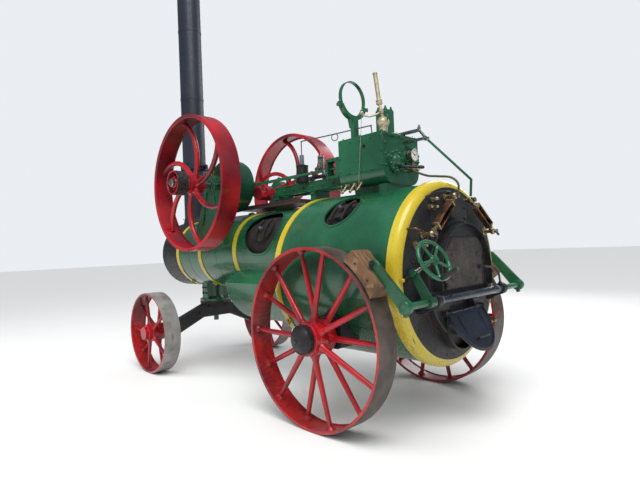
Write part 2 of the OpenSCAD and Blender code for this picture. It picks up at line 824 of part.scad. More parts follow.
module slide_bars() color(steel) from_axle() {
    difference() {
        union() {
            for (z = [crank_z - 58, crank_z + 42]) {
                block([guide_back, -piston_y - 30, z], [guide_front, -piston_y + 30, z + 16]);
            }
            for (x = [guide_back, guide_front]) {
                block([x, -piston_y - 30, crank_z - 95], [x + 16, -piston_y + 30, crank_z + 58]);
            }
        }
        along_x(guide_back - 1, guide_back + 20, 20 + seat_gap, -piston_y, crank_z);
        block([guide_front - 110, -piston_y - 16, crank_z - 80], [guide_front + 20, -piston_y + 16, crank_z + 41]);
    }
}

module crosshead() color(steel) from_axle() {
    difference() {
        block([crosshead_x - 70, -piston_y - 28, crank_z - 41.7], [crosshead_x + 60, -piston_y + 28, crank_z + 41.7]);
        block([crosshead_x - 34, -piston_y - 16, crank_z - 60], [crosshead_x + 80, -piston_y + 16, crank_z + 60]);
    }
    along_y(-piston_y - 20, -piston_y + 20, 15, crosshead_x, crank_z);
    along_x(block_front, crosshead_x - 60, 20, -piston_y, crank_z);
}

module connecting_rod() color(red) from_axle() {
    difference() {
        union() {
            run_y(-piston_y - 13, -piston_y + 13) {
                bar_outline([crosshead_x, crank_z], [pin_x, pin_z], 26, 26);
                translate([crosshead_x, crank_z]) circle(30);
            }
            along_y(-piston_y - 26, -piston_y + 26, 58, pin_x, pin_z);
        }
        along_y(-piston_y - 40, -piston_y + 40, 15 + run_gap, crosshead_x, crank_z);
    }
}

// Eccentric rod and valve spindle on the left of the piston.
module valve_gear() color(green) from_axle() {
    y = valve_y;
    difference() {
        union() {
            along_y(y - 16, y + 16, 96, crank_x, crank_z);
            block([920, y - 12, crank_z - 14], [crank_x - 88, y + 12, crank_z + 14]);
        }
        along_y(y - 30, y + 30, 76, crank_x, crank_z);
    }
    along_x(block_front, 930, 14, y, crank_z);
    difference() {
        block([block_front + 70, y - 40, crank_z - 100], [470, y + 40, crank_z + 90]);
        block([350, y - 60, crank_z - 70], [450, y + 60, crank_z + 60]);
    }
}

module oil_tray() color("#6a3a3a") from_axle() {
    low = [930, -310, crank_z - 261];
    high = [crank_x + 143, 60, low.z + 40];
    wall = 10;
    difference() {
        block(low, high);
        block(low + [wall, wall, 6], high + [-wall, -wall, 20]);
        frame_feet(seat_gap);
    }
}

module lubricators() color(black) from_axle() {
    translate([930, 10, crank_z - 60]) cylinder(r = 60, h = 170);
    translate([800, -piston_y, crank_z + 58]) cylinder(r = 30, h = 140);
}

module pedestal(side) {
    y = side * bearing_y;
    difference() {
        union() {
            run_y(y - bearing_w / 2, y + bearing_w / 2) {
                polygon([
                    [crank_x - 225, 1600], [crank_x + 300, 1600],
                    [crank_x + 110, crank_z - 60], [crank_x - 110, crank_z - 60],
                ]);
                translate([crank_x, crank_z]) circle(110);
            }
            // Foot that wraps down the barrel's side.
            run_y(y - (side > 0 ? 160 : bearing_w / 2), y + (side > 0 ? bearing_w / 2 : 160)) {
                polygon([
                    [crank_x - 225, 1411], [crank_x + 331, 1411],
                    [crank_x + 300, 1640], [crank_x - 225, 1640],
                ]);
            }
        }
        along_x(crank_x - 400, crank_x + 400, barrel_r + seat_gap, 0, barrel_z);
        along_y(-900, 900, crank_r + run_gap, crank_x, crank_z);
    }
}

module pedestal_left() color(green) from_axle() pedestal(1);
module pedestal_right() color(green) from_axle() pedestal(-1);

module crankshaft() color(steel) from_axle() {
    along_y(-fly_y - 30, -piston_y - 75, crank_r, crank_x, crank_z);
    along_y(-piston_y + 75, fly_y + 150, crank_r, crank_x, crank_z);
    for (y = [-piston_y - 75, -piston_y + 35]) run_y(y, y + 40) {
        bar_outline([crank_x, crank_z], [pin_x, pin_z], 78, 62);
    }
    along_y(valve_y - 14, valve_y + 14, 70, crank_x + 4, crank_z);
}

// A flywheel with round spokes that start square to the hub and bend one way.
module flywheel(side) {
    reach = fly_r - fly_rim + 4;
    start = 70;
    a = 2 * start * fly_bend;
    b = 2 * fly_bend * fly_bend;
    c = reach * reach - start * start - b;
    sweep = atan2(b, a) + asin(c / sqrt(a * a + b * b));
    mid = side * (fly_y - fly_w / 2);
    translate([crank_x, mid, crank_z]) rotate([90, 0, 0]) {
        difference() {
            cylinder(r = fly_r, h = fly_w, center = true, $fn = 180);
            cylinder(r = fly_r - fly_rim, h = fly_w + 2, center = true, $fn = 180);
        }
        difference() {
            union() {
                cylinder(r = 92, h = fly_w * 0.85, center = true);
                for (i = [0:fly_spokes - 1]) rotate(i * 360 / fly_spokes) {
                    translate([start, -fly_bend, 0]) rotate(90 - sweep) {
                        rotate_extrude(angle = sweep) translate([fly_bend, 0]) circle(fly_spoke_r, $fn = 32);
                    }
                }
            }
            cylinder(r = crank_r + seat_gap, h = fly_w + 2, center = true);
        }
    }
}

module flywheel_left() color(red) from_axle() flywheel(1);
module flywheel_right() color(red) from_axle() flywheel(-1);

module belt_pulley() color(red) from_axle() {
    mid = fly_y + 20 + pulley_w / 2;
    difference() {
        along_y(mid - pulley_w / 2, mid + pulley_w / 2, pulley_r, crank_x, crank_z);
        along_y(mid - pulley_w / 2 - 1, mid + pulley_w / 2 + 1, pulley_r - 12, crank_x, crank_z);
    }
    difference() {
        union() {
            along_y(mid - 40, mid + 40, 62, crank_x, crank_z);
            translate([crank_x, mid, crank_z]) rotate([90, 0, 0]) for (i = [0:5]) rotate(i * 60) {
                translate([50, -9, -12]) cube([pulley_r - 56, 18, 24]);
            }
        }
        along_y(mid - 50, mid + 50, crank_r + seat_gap, crank_x, crank_z);
    }
}

module governor_drum() color(green) from_axle() {
    difference() {
        union() {
            along_y(valve_y + 24, 350, governor_r - 16, crank_x, crank_z);
            along_y(valve_y + 60, 330, governor_r, crank_x, crank_z);
        }
        along_y(valve_y, 400, crank_r + seat_gap, crank_x, crank_z);
    }
}

// A stub axle on its bracket, riveted to the drum's side.
module axle_bracket(side) {
    mirror([0, side < 0 ? 1 : 0, 0]) {
        difference() {
            run_y(main_r - 210, bracket_y) {
                translate([-20, rear_r + 20]) {
                    square([150, 240], center = true);
                    square([250, 140], center = true);
                    for (sx = [-1, 1], sz = [-1, 1]) translate([sx * 75, sz * 70]) circle(50);
                }
            }
            along_x(-400, 400, main_r + seat_gap, 0, main_z);
        }
        along_y(bracket_y - 1, bracket_y + 16, 78, 0, rear_r);
        along_y(bracket_y - 1, rear_y - 6, axle_r, 0, rear_r);
    }
}

module axle_bracket_left() color(black) from_axle() axle_bracket(1);
module axle_bracket_right() color(black) from_axle() axle_bracket(-1);

// An iron wheel in its own frame, its axle along Z and its outer face up.
module iron_wheel(r, w, spokes, hub_r, spoke_r, hub_h) {
    difference() {
        cylinder(r = r, h = w, center = true, $fn = 180);
        cylinder(r = r - rim_t, h = w + 2, center = true, $fn = 180);
    }
    difference() {
        union() {
            cylinder(r = hub_r, h = hub_h, center = true);
            for (i = [0:spokes - 1]) rotate(i * 360 / spokes) {
                lean = i % 2 == 0 ? 1 : -1;
                a = [hub_r - 12, 0, lean * hub_h * 0.22];
                b = [r - rim_t + 3, 0, lean * w * 0.12];
                d = b - a;
                translate(a) rotate([0, acos(d.z / norm(d)), 0]) {
                    cylinder(r1 = spoke_r * 1.2, r2 = spoke_r * 0.9, h = norm(d), $fn = 32);
                }
            }
        }
        cylinder(r = axle_r + run_gap, h = hub_h + 2, center = true);
    }
}

module rear_wheel(side) {
    translate([0, side * (rear_y - rear_w / 2), rear_r]) rotate([-90 * side, 0, 0]) {
        iron_wheel(rear_r, rear_w, rear_spokes, 125, 20, rear_w + 6);
    }
}

module rear_wheel_left() color(red) from_axle() rear_wheel(1);
module rear_wheel_right() color(red) from_axle() rear_wheel(-1);

module hub_cap(side) {
    translate([0, side * (rear_y + 3), rear_r]) rotate([-90 * side, 0, 0]) {
        difference() {
            union() {
                cylinder(r = 104, h = 50);
                translate([0, 0, 50]) intersection() {
                    translate([0, 0, -70]) sphere(125);
                    cylinder(r = 104, h = 80);
                }
            }
            translate([0, 0, -1]) cylinder(r = axle_r + 10, h = 20);
        }
    }
}

module hub_cap_left() color(black) from_axle() hub_cap(1);
module hub_cap_right() color(black) from_axle() hub_cap(-1);

module king_post() color(green) from_axle() {
    difference() {
        union() {
            translate([wheelbase, 0, 760]) cylinder(r = 95, h = 300);
            block([wheelbase - 60, -150, 760], [wheelbase + 60, 150, 1050]);
            translate([wheelbase, 0, turntable_z]) cylinder(r = turntable_r, h = 26);
        }
        along_x(wheelbase - 400, wheelbase + 400, barrel_r + seat_gap, 0, barrel_z);
        along_x(barrel_front - 1, barrel_front + smokebox_l, smokebox_r + seat_gap, 0, barrel_z);
    }
    translate([wheelbase, 0, front_r + 30]) cylinder(r = 30, h = turntable_z + 1 - front_r - 30);
}

module front_axle() color(black) from_axle() {
    difference() {
        union() {
            translate([wheelbase, 0, turntable_z - 35]) cylinder(r = turntable_r, h = 34.5);
            run_x(wheelbase - 45, wheelbase + 45) polygon([
                [-170, 705], [170, 705], [640, front_r + 60], [640, front_r - 55],
                [520, front_r - 55], [200, front_r + 90], [-200, front_r + 90],
                [-520, front_r - 55], [-640, front_r - 55], [-640, front_r + 60],
            ]);
            for (side = [-1, 1]) mirror([0, side < 0 ? 1 : 0, 0]) {
                along_y(630, front_y - 6, axle_r, wheelbase, front_r);
            }
            // Towing bracket in front of the axle.
            block([wheelbase + 44, -60, 560], [wheelbase + 260, 60, 590]);
            translate([wheelbase + 260, 0, 560]) cylinder(r = 60, h = 30);
        }
        translate([wheelbase, 0, 400]) cylinder(r = 30 + run_gap, h = 400);
        translate([wheelbase + 260, 0, 500]) cylinder(r = 22, h = 200);
    }
}

module front_wheel(side) {
    translate([wheelbase, side * (front_y - front_w / 2), front_r]) rotate([-90 * side, 0, 0]) {
        iron_wheel(front_r, front_w, front_spokes, 95, 17, front_w + 6);
        translate([0, 0, front_w / 2 + 3]) cylinder(r = 70, h = 40);
    }
}

module front_wheel_left() color(red) from_axle() front_wheel(1);
module front_wheel_right() color(red) from_axle() front_wheel(-1);

// Where a brake block and its arm's upper end stand, as an angle round the wheel.
brake_turn = 138;
block_out_r = rear_r + brake_gap + brake_block_t;
arm_top_r = block_out_r + 43;
brake_block_y = rear_y - rear_w / 2 - 5;

// A point behind the left wheel at a brake arm, at this distance from the axle.
function by_arm(r, y) = [r * cos(brake_turn), y, rear_r + r * sin(brake_turn)];

// The handwheel's centre and the direction its axis points out; the lever's eye is on it.
wheel_out = [
    cos(handwheel_lift) * cos(wheel_turn), cos(handwheel_lift) * sin(wheel_turn), sin(handwheel_lift),
];
wheel_at = [backplate_x - handwheel_out, handwheel_y, handwheel_z];
lever_eye = wheel_at - 190 * wheel_out;

module brake_shaft() color(green) from_axle() {
    along_y(-arm_y, arm_y, brake_r, brake_x, brake_z);
    along_y(-430, 445, brake_sleeve_r, brake_x, brake_z);
    for (side = [-1, 1]) {
        run_y(side * arm_y - brake_arm_t / 2, side * arm_y + brake_arm_t / 2) {
            bar_outline([brake_x, brake_z], [by_arm(arm_top_r, 0).x, by_arm(arm_top_r, 0).z], 46, 30);
        }
        rod_between(by_arm(arm_top_r, side * arm_y), by_arm(block_out_r, side * arm_y), 20);
        along_y(side * arm_y - 24, side * arm_y + 24, 44, brake_x, brake_z);
    }
    difference() {
        union() {
            run_y(lever_eye.y - 10, lever_eye.y + 10) {
                bar_outline([brake_x, brake_z], [lever_eye.x, lever_eye.z], 38, 25);
            }
            along_y(lever_eye.y - 27, lever_eye.y + 27, 26, lever_eye.x, lever_eye.z);
            along_y(handwheel_y - 60, handwheel_y + 10, 38, brake_x, brake_z);
        }
        rod_between(lever_eye - 60 * wheel_out, lever_eye + 60 * wheel_out, 16);
    }
}

module brake_blocks() color(wood) from_axle() {
    for (side = [-1, 1]) difference() {
        translate([0, side * brake_block_y, rear_r]) rotate([0, 90 - brake_turn, 0]) {
            block([-165, -brake_block_w / 2, rear_r + brake_gap - 30], [165, brake_block_w / 2, block_out_r]);
        }
        along_y(-2000, 2000, rear_r + brake_gap, 0, rear_r);
    }
}

module brake_bearings() color(black) from_axle() {
    for (y = [-500, 480]) difference() {
        union() {
            run_y(y - 22, y + 22) {
                bar_outline([brake_x, brake_z], [backplate_x - 60, brake_z - 40], 45, 36);
                translate([backplate_x - 62, brake_z - 90]) square([62, 100]);
            }
        }
        along_y(y - 40, y + 40, brake_r + run_gap, brake_x, brake_z);
    }
    // Bar that steadies the brake screw, from the backplate out to the flange.
    block([backplate_x - 16, core_r - 46, 1104], [backplate_x, core_r - 20, 1130]);
    rod_between([backplate_x - 14, core_r - 42, 1120], [backplate_x - 10, core_r + 24, 1101], 9);
}

module handwheel() color(green) from_axle() {
    translate(wheel_at) rotate([0, 90 - handwheel_lift, wheel_turn]) {
        rotate_extrude() translate([handle_at, 0]) circle(wheel_rim_r, $fn = 32);
        cylinder(r = 26, h = 36, center = true);
        for (i = [0:4]) rotate(i * 72 + handle_turn) rotate([0, 90, 0]) cylinder(r = 10, h = handle_at - 1);
        rotate(handle_turn) translate([handle_at, 0, 0]) cylinder(r = handle_r, h = handle_l);
    }
    rod_between(wheel_at - 205 * wheel_out, wheel_at, 11);
}

module steam_pipes() color("#5a5a3a") from_axle() {
    // Exhaust from the block along the barrel's right side and into the smokebox.
    y = -352;
    z = barrel_z + 433;
    r = 34;
    route = [
        [40, -block_w / 2, 2000], [40, y, 2000], [40, y, z],
        [chimney_x - 90, y, z], [chimney_x - 90, -200, barrel_z + 300],
    ];
    difference() {
        for (i = [1:len(route) - 1]) {
            rod_between(route[i - 1], route[i], r);
            if (i < len(route) - 1) translate(route[i]) sphere(r + 5);
        }
        along_x(barrel_front - 200, barrel_front + 600, smokebox_r + seat_gap, 0, barrel_z);
    }
}

main_cladding();
middle_cladding();
boiler_barrel();
boiler_core();
washout_doors();
yellow_bands();
rear_flange();
backplate();
firebox_drum();
fire_door();
ash_flap();
water_gauges();
smokebox();
smokebox_door();
chimney_base();
chimney();
chimney_rest();
rest_strap();
cylinder_saddle();
cylinder_block();
cylinder_covers();
safety_valve();
whistle();
whistle_cord();
drain_cocks();
pressure_gauge();
engine_frame();
slide_bars();
crosshead();
connecting_rod();
valve_gear();
oil_tray();
lubricators();
pedestal_left();
pedestal_right();
crankshaft();
flywheel_left();
flywheel_right();
belt_pulley();
governor_drum();
axle_bracket_left();
axle_bracket_right();
rear_wheel_left();
rear_wheel_right();
hub_cap_left();
hub_cap_right();
king_post();
front_axle();
front_wheel_left();
front_wheel_right();
brake_shaft();
brake_blocks();
brake_bearings();
handwheel();
steam_pipes();
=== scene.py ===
"""A portable steam engine: finishes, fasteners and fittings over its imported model."""

from itertools import product
from math import asin, copysign, cos, degrees, pi, radians, sin

import bmesh
import bpy
from mathutils import Matrix, Vector


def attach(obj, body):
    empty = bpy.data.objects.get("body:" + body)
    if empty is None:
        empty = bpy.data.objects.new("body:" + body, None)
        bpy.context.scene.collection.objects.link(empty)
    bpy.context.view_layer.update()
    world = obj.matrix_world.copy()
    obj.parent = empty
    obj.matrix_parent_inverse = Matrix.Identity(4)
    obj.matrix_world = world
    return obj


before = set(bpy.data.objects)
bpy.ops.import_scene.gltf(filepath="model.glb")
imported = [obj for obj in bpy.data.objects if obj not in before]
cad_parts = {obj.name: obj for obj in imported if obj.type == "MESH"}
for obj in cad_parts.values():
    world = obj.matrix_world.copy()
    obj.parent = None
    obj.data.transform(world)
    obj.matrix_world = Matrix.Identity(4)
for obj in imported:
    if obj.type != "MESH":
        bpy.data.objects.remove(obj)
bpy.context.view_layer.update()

# Places are in millimetres from the rear axle on the ground: X forward, Y left, Z up.
X, Y, Z = Vector((1, 0, 0)), Vector((0, 1, 0)), Vector((0, 0, 1))
MIDDLE_X = 1105.115
MM = 0.001
REAR_R = 675
FRONT_R = 450
FRONT_X = 2660
MAIN = Vector((0, 0, 1110))
BARREL = Vector((0, 0, 1332))
CRANK = Vector((1867, 0, 2059))
CRANK_X, CRANK_Z = 1867, 2059
PISTON_Y = -130
CHIMNEY_X = 3065
SHAFT = Vector((-841, 0, 951))
PLATE_X = -699
SIDES = {"left": 1, "right": -1}


def metres(point):
    """A place in the object's frame, in metres."""
    return Vector(((point[0] - MIDDLE_X) * MM, point[1] * MM, point[2] * MM))


def placed(name, data):
    """A new object in the scene."""
    made = bpy.data.objects.new(name, data)
    bpy.context.scene.collection.objects.link(made)
    return made


# ---------------------------------------------------------------- camera

CAMERA_AT = (-2528, 3203, 1342)
FOCAL_PIXELS = 466.287
PHOTO_PIXELS = 640
SENSOR_WIDTH = 36.0
YAW, PITCH, ROLL = (radians(a) for a in (-44.544, 0.899, -2.339))


def add_camera():
    """The photograph's viewpoint, from a fit to the wheels and drum."""
    data = bpy.data.cameras.new("camera")
    data.sensor_width = SENSOR_WIDTH
    data.lens = FOCAL_PIXELS / PHOTO_PIXELS * SENSOR_WIDTH
    camera = placed("camera", data)
    look = Vector((cos(YAW) * cos(PITCH), sin(YAW) * cos(PITCH), sin(PITCH)))
    level = Vector((sin(YAW), -cos(YAW), 0))
    above = level.cross(look)
    right = cos(ROLL) * level + sin(ROLL) * above
    up = -sin(ROLL) * level + cos(ROLL) * above
    turn = Matrix((right, up, -look)).transposed()
    camera.matrix_world = Matrix.Translation(metres(CAMERA_AT)) @ turn.to_4x4()
    bpy.context.scene.camera = camera


add_camera()

# ---------------------------------------------------------------- materials

GREEN, GREEN_DARK = (0.014, 0.108, 0.047), (0.008, 0.064, 0.028)
RED, RED_DARK = (0.40, 0.005, 0.011), (0.14, 0.004, 0.010)
YELLOW = (0.50, 0.405, 0.028)
BLACK, SOOT = (0.016, 0.016, 0.018), (0.006, 0.006, 0.007)
DUST, RUST = (0.20, 0.16, 0.11), (0.11, 0.045, 0.022)
STEEL, STEEL_DULL = (0.42, 0.42, 0.43), (0.20, 0.18, 0.16)
BRASS = (0.50, 0.41, 0.25)
WOOD = (0.17, 0.085, 0.035)
# The places, in metres, between which one finish fades into another on one piece: below the tread
# of a wheel, round the crankshaft, and round and along the brake's cross shaft.
TREAD_DEPTH = (0.0025, 0.0005)
CRANK_WEB = (0.0425, 0.044)
BELT_FACE = (0.121, 0.1225)
SLEEVE_R = (0.032, 0.031)
SLEEVE_END = (0.447, 0.445)


class Shader:
    """A node material that is built from the surface's own coordinates."""

    def __init__(self, name, metallic=0.0, coat=0.0):
        self.material = bpy.data.materials.new(name)
        self.material.use_nodes = True
        self.tree = self.material.node_tree
        self.tree.nodes.clear()
        self.surface = self.node("ShaderNodeBsdfPrincipled", {
            "Metallic": metallic, "Coat Weight": coat, "Coat Roughness": 0.12,
            "Specular IOR Level": 0.5})
        self.node("ShaderNodeOutputMaterial", {"Surface": self.surface.outputs[0]})
        self.place = self.node("ShaderNodeTexCoord").outputs["Object"]

    def node(self, kind, inputs=None, **settings):
        """A node with its settings and its inputs, which are values or other nodes' outputs."""
        made = self.tree.nodes.new(kind)
        for key, value in settings.items():
            setattr(made, key, value)
        for key, value in (inputs or {}).items():
            self.feed(made.inputs[key], value)
        return made

    def feed(self, socket, value):
        if isinstance(value, bpy.types.NodeSocket):
            self.tree.links.new(value, socket)
        elif isinstance(value, tuple) and len(value) == 3 and socket.type == "RGBA":
            socket.default_value = (*value, 1.0)
        else:
            socket.default_value = value

    def give(self, **inputs):
        """Feeds the surface's inputs, whose names are written with _ for each space."""
        for key, value in inputs.items():
            self.feed(self.surface.inputs[key.replace("_", " ")], value)

    def noise(self, scale, detail=4.0, stretch=(1, 1, 1)):
        place = self.node("ShaderNodeMapping", {"Vector": self.place, "Scale": stretch}).outputs[0]
        return self.node(
            "ShaderNodeTexNoise", {"Vector": place, "Scale": scale, "Detail": detail}
        ).outputs["Fac"]

    def ramp(self, value, low, high, to_low=0.0, to_high=1.0):
        """value mapped smoothly from low..high to to_low..to_high."""
        return self.node("ShaderNodeMapRange", {
            "Value": value, "From Min": low, "From Max": high, "To Min": to_low,
            "To Max": to_high}, interpolation_type="SMOOTHSTEP").outputs[0]

    def math(self, operation, a, b=0.0):
        return self.node("ShaderNodeMath", {0: a, 1: b}, operation=operation).outputs[0]

    def times(self, a, b):
        return self.math("MULTIPLY", a, b)

    def mix(self, factor, a, b):
        made = self.node("ShaderNodeMix", data_type="RGBA")
        for key, value in ((0, factor), (6, a), (7, b)):
            self.feed(made.inputs[key], value)
        return made.outputs[2]

    def clouds(self, scale, detail, low, high, a, b, most=1.0):
        """Colour a with noise clouds of colour b, which cover it by most at their thickest."""
        return self.mix(self.ramp(self.noise(scale, detail), low, high, 0.0, most), a, b)

    def along(self, letter):
        return self.node("ShaderNodeSeparateXYZ", {0: self.place}).outputs[letter]

    def radius(self, centre):
        """Distance in metres from an axle that runs across the engine through centre."""
        flat = (1, 0, 1)
        at = metres(centre) * Vector(flat)
        out = self.node("ShaderNodeVectorMath", {0: self.place, 1: tuple(at)}, operation="SUBTRACT")
        out = self.node("ShaderNodeVectorMath", {0: out.outputs[0], 1: flat}, operation="MULTIPLY")
        out = self.node("ShaderNodeVectorMath", {0: out.outputs[0]}, operation="LENGTH")
        return out.outputs["Value"]

    def finish(self, colour, roughness, bump=None, strength=0.2, distance=0.002):
        self.give(Base_Color=colour, Roughness=roughness)
        if bump is not None:
            made = self.node("ShaderNodeBump", {
                "Height": bump, "Strength": strength, "Distance": distance})
            self.give(Normal=made.outputs[0])
        return self.material

    def grained(self, colour, fine, rough, strength, distance):
        """The finish whose roughness and bump both follow one fine noise."""
        return self.finish(colour, self.ramp(fine, 0.3, 0.7, *rough), fine, strength, distance)


def paint(name, base, dark):
    """Gloss paint with uneven colour, small bare chips and dust towards the ground."""
    s = Shader(name, coat=0.35)
    fine = s.noise(38.0, 6.0)
    colour = s.clouds(2.2, 5.0, 0.38, 0.68, base, dark)
    chips = s.ramp(s.times(s.noise(90.0, 2.0), s.noise(6.0, 3.0)), 0.45, 0.48)
    colour = s.mix(chips, colour, RUST)
    low = s.ramp(s.along("Z"), 0.9, 0.1)
    dirt = s.times(s.times(low, s.ramp(fine, 0.40, 0.66)), 0.5)
    colour = s.mix(dirt, colour, DUST)
    rough = s.ramp(s.math("ADD", s.times(fine, 0.6), s.times(dirt, 0.8)), 0.2, 0.8, 0.22, 0.45)
    return s.finish(colour, rough, s.noise(14.0, 3.0), 0.05, 0.004)


def wheel_paint(name, x, radius, iron_tread, pale_tread):
    """Red paint whose tread is worn to dirty grey iron, on wheels of one radius at x."""
    s = Shader(name, coat=0.3)
    fine = s.noise(45.0, 6.0)
    colour = s.clouds(3.0, 5.0, 0.38, 0.66, RED, RED_DARK)
    out, rim = s.radius((x, 0, radius)), radius * MM
    splash = s.times(s.ramp(out, rim - 0.22, rim), s.ramp(fine, 0.42, 0.72))
    colour = s.mix(s.times(splash, 0.22), colour, DUST)
    tread = s.ramp(out, *(rim - depth for depth in TREAD_DEPTH))
    worn = s.clouds(7.0, 8.0, 0.34, 0.74, iron_tread, pale_tread)
    worn = s.clouds(9.0, 4.0, 0.54, 0.70, worn, RUST, 0.6)
    roughness = s.ramp(s.math("ADD", fine, tread), 0.3, 1.3, 0.28, 0.75)
    return s.finish(s.mix(tread, colour, worn), roughness, fine, 0.10, 0.002)


def flywheel_paint(name):
    s = Shader(name, coat=0.4)
    colour = s.clouds(2.2, 1.0, 0.36, 0.70, RED, RED_DARK)
    colour = s.clouds(3.6, 1.5, 0.52, 0.72, colour, (0.10, 0.012, 0.014), 0.5)
    wear = s.ramp(s.noise(5.0, 3.0), 0.3, 0.7, 0.24, 0.40)
    return s.finish(colour, wear, s.noise(70.0, 3.0), 0.01, 0.0006)


def iron(name, base=BLACK, second=SOOT, rust=0.25, rough=(0.38, 0.7), scale=6.0, bump=0.25):
    """Black paint or bare iron with rust blooms."""
    s = Shader(name, coat=0.05)
    fine = s.noise(55.0, 7.0)
    colour = s.clouds(scale, 5.0, 0.35, 0.65, base, second)
    bloom = s.times(s.ramp(s.noise(scale * 1.7, 6.0), 0.55, 0.70), rust)
    colour = s.mix(bloom, colour, RUST)
    low = s.times(s.ramp(s.along("Z"), 0.7, 0.1), s.ramp(fine, 0.4, 0.7, 0.0, 0.5))
    return s.grained(s.mix(low, colour, DUST), fine, rough, bump, 0.0015)


def bright_metal(name, base, tarnish, metallic=1.0, rough=(0.22, 0.45), brushed=(1, 1, 1)):
    s = Shader(name, metallic=metallic)
    colour = s.clouds(12.0, 5.0, 0.40, 0.68, base, tarnish)
    return s.grained(colour, s.noise(160.0, 4.0, brushed), rough, 0.08, 0.0008)


def wood_grain(name):
    s = Shader(name)
    rings = s.noise(9.0, 6.0, (1.0, 7.0, 1.0))
    grain = s.noise(70.0, 6.0, (0.25, 6.0, 0.25))
    colour = s.mix(s.ramp(rings, 0.35, 0.65), WOOD, (0.085, 0.042, 0.02))
    colour = s.mix(s.ramp(grain, 0.50, 0.70, 0.0, 0.45), colour, (0.33, 0.23, 0.16))
    return s.grained(colour, grain, (0.6, 0.85), 0.45, 0.003)


def scratched_yellow(name):
    """Yellow paint that is chipped to black low on the drum."""
    s = Shader(name, coat=0.3)
    streak = s.noise(42.0, 8.0, (1.6, 0.16, 0.16))
    colour = s.clouds(3.0, 4.0, 0.38, 0.68, YELLOW, (0.46, 0.33, 0.012))
    chips = s.times(s.ramp(streak, 0.62, 0.66, 0.0, 0.8), s.ramp(s.along("Z"), 1.20, 0.50))
    colour = s.mix(chips, colour, (0.022, 0.02, 0.016))
    colour = s.clouds(120.0, 2.0, 0.70, 0.73, colour, (0.06, 0.045, 0.02), 0.7)
    return s.grained(colour, s.noise(60.0, 6.0), (0.22, 0.40), 0.05, 0.001)


def enamel(name):
    """White enamel that has yellowed a little and unevenly."""
    s = Shader(name, coat=0.6)
    colour = s.clouds(60.0, 4.0, 0.4, 0.7, (0.80, 0.79, 0.75), (0.66, 0.62, 0.53))
    return s.finish(colour, s.ramp(s.noise(150.0), 0.3, 0.7, 0.2, 0.35))


def clear_glass(name):
    s = Shader(name)
    s.give(Transmission_Weight=0.9, IOR=1.47)
    film = s.clouds(40.0, 4.0, 0.4, 0.7, (0.85, 0.86, 0.80), (0.55, 0.48, 0.32))
    return s.finish(film, s.ramp(s.noise(70.0), 0.3, 0.7, 0.05, 0.2))


def twisted_cord(name):
    s = Shader(name)
    place = s.node("ShaderNodeMapping", {"Vector": s.place, "Rotation": (0.6, 0.0, 0.0)})
    strand = s.node("ShaderNodeTexWave", {
        "Vector": place.outputs[0], "Scale": 180.0, "Distortion": 1.0},
        bands_direction="Z").outputs["Fac"]
    colour = s.mix(strand, (0.10, 0.095, 0.085), (0.34, 0.31, 0.26))
    return s.finish(colour, 0.85, strand, 0.6, 0.001)


def red_webs(name):
    """Bright steel on the crankshaft, and red paint on its webs."""
    s = Shader(name, coat=0.2)
    fine = s.noise(90.0, 5.0)
    web = s.ramp(s.radius(CRANK), *CRANK_WEB)
    bare = s.mix(s.ramp(fine, 0.40, 0.68), STEEL, STEEL_DULL)
    red = s.clouds(6.0, 5.0, 0.38, 0.66, (0.42, 0.010, 0.016), RED_DARK)
    s.give(Metallic=s.ramp(web, 0.0, 1.0, 1.0, 0.0))
    return s.grained(s.mix(web, bare, red), fine, (0.25, 0.42), 0.06, 0.001)


def sleeved_paint(name):
    """Green paint on the brake's arms, and dark blue-grey on the sleeve of its cross shaft."""
    s = Shader(name, coat=0.3)
    colour = s.clouds(3.0, 5.0, 0.38, 0.68, GREEN, GREEN_DARK)
    across = s.math("ABSOLUTE", s.along("Y"))
    sleeve = s.times(s.ramp(s.radius(SHAFT), *SLEEVE_R), s.ramp(across, *SLEEVE_END))
    dark = s.clouds(9.0, 5.0, 0.40, 0.66, (0.007, 0.011, 0.021), (0.020, 0.025, 0.034))
    return s.grained(s.mix(sleeve, colour, dark), s.noise(40.0, 6.0), (0.25, 0.5), 0.08, 0.001)


def pulley_paint(name):
    """Red inside, and a black belt face that is polished in places."""
    s = Shader(name, coat=0.3)
    fine = s.noise(60.0, 6.0)
    colour = s.clouds(6.0, 5.0, 0.38, 0.66, RED, RED_DARK)
    belt = s.mix(s.ramp(fine, 0.4, 0.7), (0.014, 0.013, 0.014), (0.05, 0.045, 0.042))
    face = s.ramp(s.radius(CRANK), *BELT_FACE)
    return s.grained(s.mix(face, colour, belt), fine, (0.25, 0.5), 0.08, 0.001)


